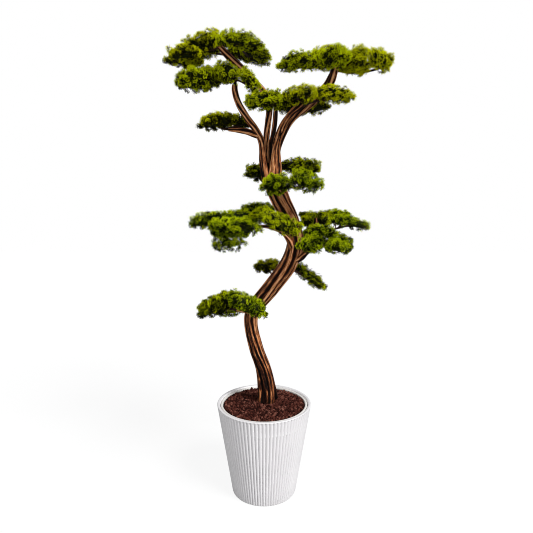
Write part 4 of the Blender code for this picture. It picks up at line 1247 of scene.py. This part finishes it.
def make_shade_cores():
    """The dense dark inside of each mass, which the sprigs stand out of."""
    stack = Stack()
    columns, rows = 24, 12
    faces = []
    for row, column in product(range(rows), range(columns)):
        after = (column + 1) % columns
        a, b = row * columns, (row + 1) * columns
        if row == 0:
            faces.append((a, b + column, b + after))
        elif row == rows - 1:
            faces.append((a + column, b, a + after))
        else:
            faces.append((a + column, b + column, b + after, a + after))
    for mass in MASSES:
        stack.add(core_points(mass, columns, rows), faces)
    for tuft in TUFTS:
        line = [np.array(tuft.start) * (1 - t) + np.array(tuft.end) * t for t in (0.0, 0.3, 0.7, 1.0)]
        add_tube(stack, line, [tuft.reach * 0.35] * 4, 8)
    keep(smooth(tidy_faces(stack.build("foliage_hearts", shade_material()))), "foliage")


# Stems and twigs


def bent(start, ahead, goal, droop, count):
    """Points of a gentle bend from start, setting off ahead, to the goal."""
    start, ahead, goal = np.array(start), np.array(ahead), np.array(goal)
    reach = np.linalg.norm(goal - start)
    hold = start + ahead * reach * 0.45
    ease = goal - (goal - start) * 0.25 + np.array((0, 0, droop))
    t = np.linspace(0, 1, count)[:, None]
    s = 1 - t
    return s ** 3 * start + 3 * s ** 2 * t * hold + 3 * s * t ** 2 * ease + t ** 3 * goal


# The boughs that end in plain sight: where the stems of their masses set out, and which way
STEM_ROOT = {"crown_upper": (18, (0.0, 0.95, 0.30)), "east": (9, (0.0, 1.0, 0.1))}
# A mass whose stem forks from inside its neighbour
FORKS_FROM = {"crown_tip": "crown_top", "crown_back": "crown_top", "crown_front": "crown_back"}


def foot_of(mass):
    """Where the stem of a mass ends, a little below its middle."""
    return np.array(mass.centre) - np.array((0, 0, mass.half[2] * 0.35))


def stem_start(mass, goal):
    """Where the stem of a mass sets out, and which way."""
    if mass.name in FORKS_FROM:
        start = foot_of(next(other for other in MASSES if other.name == FORKS_FROM[mass.name]))
        return start, goal - start
    if mass.carrier == "trunk":
        centres, _ = sampled(TRUNK_PATH, 200)
        start = centres[np.abs(centres[:, 2] - mass.height).argmin()]
        return start, (np.array(mass.centre) - start) * np.array((1, 1, 0))
    centres, _ = sampled(BOUGHS[mass.carrier].path, 20)
    if mass.carrier in STEM_ROOT:
        place, ahead = STEM_ROOT[mass.carrier]
        return centres[place], np.array(ahead)
    return centres[-1], centres[-1] - centres[-3]


def add_twigs(stack, mass):
    """A stem into a mass, which forks to the lobes and then to finer twigs."""
    rng = random.Random(seed_of(mass) + 50)
    goal = foot_of(mass)
    start, ahead = stem_start(mass, goal)
    stem = bent(start, unit(ahead), goal, -0.004, 12)
    thick = 0.0046 if mass.carrier == "trunk" else 0.0040
    add_tube(stack, stem, np.linspace(thick, 0.0024, 12), 6)
    onward = unit(stem[-1] - stem[5])
    lobes = own_lobes(mass)
    middles = placed(mass, np.array([lobe[0] for lobe in lobes]))
    for index in range(1, len(lobes)):
        root = stem[min(11, 6 + index % 6)]
        branch = bent(root, onward, root + (middles[index] - root) * 1.05, -0.003, 7)
        add_tube(stack, branch, np.linspace(0.0020, 0.0011, 7), 4)
        for _ in range(5):
            fork = branch[rng.randrange(3, 7)]
            spread = unit(np.array([rng.gauss(0, 1), rng.gauss(0, 1), rng.gauss(0.15, 0.7)]))
            tip = middles[index] + spread * lobes[index][1] * np.array(mass.half) * 0.9
            add_tube(stack, bent(fork, unit(tip - fork), tip, 0.0, 4), np.linspace(0.0011, 0.0006, 4), 3)


def make_twigs():
    material = twig_material()
    for cluster in dict.fromkeys(cluster_of(mass) for mass in MASSES):
        stack = Stack()
        for mass in MASSES:
            if cluster_of(mass) == cluster:
                add_twigs(stack, mass)
        keep(smooth(stack.build("twigs_" + cluster, material)), "bark")


# Floor, light and camera

# The camera's focal length in the photo's pixels, the photo's width and the downward pitch in degrees
CAMERA_FOCUS = 494.6
PHOTO_WIDTH = 533
CAMERA_PITCH = 8.5


def by_camera(tree, unseen, seen, output):
    """Shows one shader to the camera and another to all other rays."""
    mix = tree.nodes.new("ShaderNodeMixShader")
    from_camera = tree.nodes.new("ShaderNodeLightPath").outputs["Is Camera Ray"]
    for socket, value in zip(mix.inputs, (from_camera, unseen.outputs[0], seen.outputs[0])):
        feed(tree, socket, value)
    feed(tree, tree.nodes[output].inputs["Surface"], mix.outputs[0])


def make_stage():
    """A white floor that throws only a little light back on the pot."""
    floor = mesh_object("floor", [(-6, -5, 0), (6, -5, 0), (6, 7, 0), (-6, 7, 0)], [(0, 1, 2, 3)])
    material, tree, shader = new_material("pale floor", 0.9, 0.0)
    feed(tree, shader.inputs["Base Color"], (0.95, 0.95, 0.95, 1.0))
    dimmer = node(tree, "ShaderNodeBsdfDiffuse", Color=(0.30, 0.30, 0.30, 1.0))
    glow = node(tree, "ShaderNodeEmission", Color=(1.0, 1.0, 1.0, 1.0), Strength=1.0)
    seen = node(tree, "ShaderNodeMixShader", Fac=0.90)
    feed(tree, seen.inputs[1], shader.outputs[0])
    feed(tree, seen.inputs[2], glow.outputs[0])
    by_camera(tree, dimmer, seen, "Material Output")
    floor.data.materials.append(material)


def aim(name, kind, place, goal, **values):
    """A light at its place, turned towards the goal."""
    light = bpy.data.lights.new(name, kind)
    for label, value in values.items():
        setattr(light, label, value)
    obj = bpy.data.objects.new(name, light)
    obj.location = place
    obj.rotation_euler = (Vector(goal) - Vector(place)).to_track_quat("-Z", "Y").to_euler()
    bpy.context.scene.collection.objects.link(obj)


def light_the_studio():
    """A white backdrop, a soft sun from the right front, a faint fill and dim light all round."""
    world = bpy.data.worlds.new("studio")
    world.use_nodes = True
    bpy.context.scene.world = world
    tree = world.node_tree
    backdrop = tree.nodes["Background"]
    feed(tree, backdrop.inputs["Color"], (1.0, 1.0, 1.0, 1.0))
    feed(tree, backdrop.inputs["Strength"], 1.0)
    ambient = node(tree, "ShaderNodeBackground", Color=(0.96, 0.98, 1.0, 1.0), Strength=0.30)
    by_camera(tree, ambient, backdrop, "World Output")
    aim("key", "SUN", (2.2, -2.1, 3.3), (0.0, 0.0, 0.0), energy=3.5, angle=math.radians(22))
    aim("fill", "AREA", (-0.9, -3.3, 1.4), (0.0, 0.0, 0.6), energy=27, size=1.2)


def set_camera():
    data = bpy.data.cameras.new("camera")
    data.sensor_width = 36.0
    data.lens = CAMERA_FOCUS / PHOTO_WIDTH * data.sensor_width
    camera = bpy.data.objects.new("camera", data)
    camera.location = (0.0085, -1.6, 1.022)
    camera.rotation_euler = (math.radians(90 - CAMERA_PITCH), 0.0, 0.0)
    bpy.context.scene.collection.objects.link(camera)
    bpy.context.scene.camera = camera


set_camera()
light_the_studio()
make_stage()
bpy.context.scene.view_settings.view_transform = "Standard"
bpy.context.scene.cycles.filter_width = 1.0
BARK = bark_material()
make_pot()
make_liner()
make_granules()
make_trunk(BARK)
make_boughs(BARK)
make_twigs()
make_shade_cores()
make_leaves()
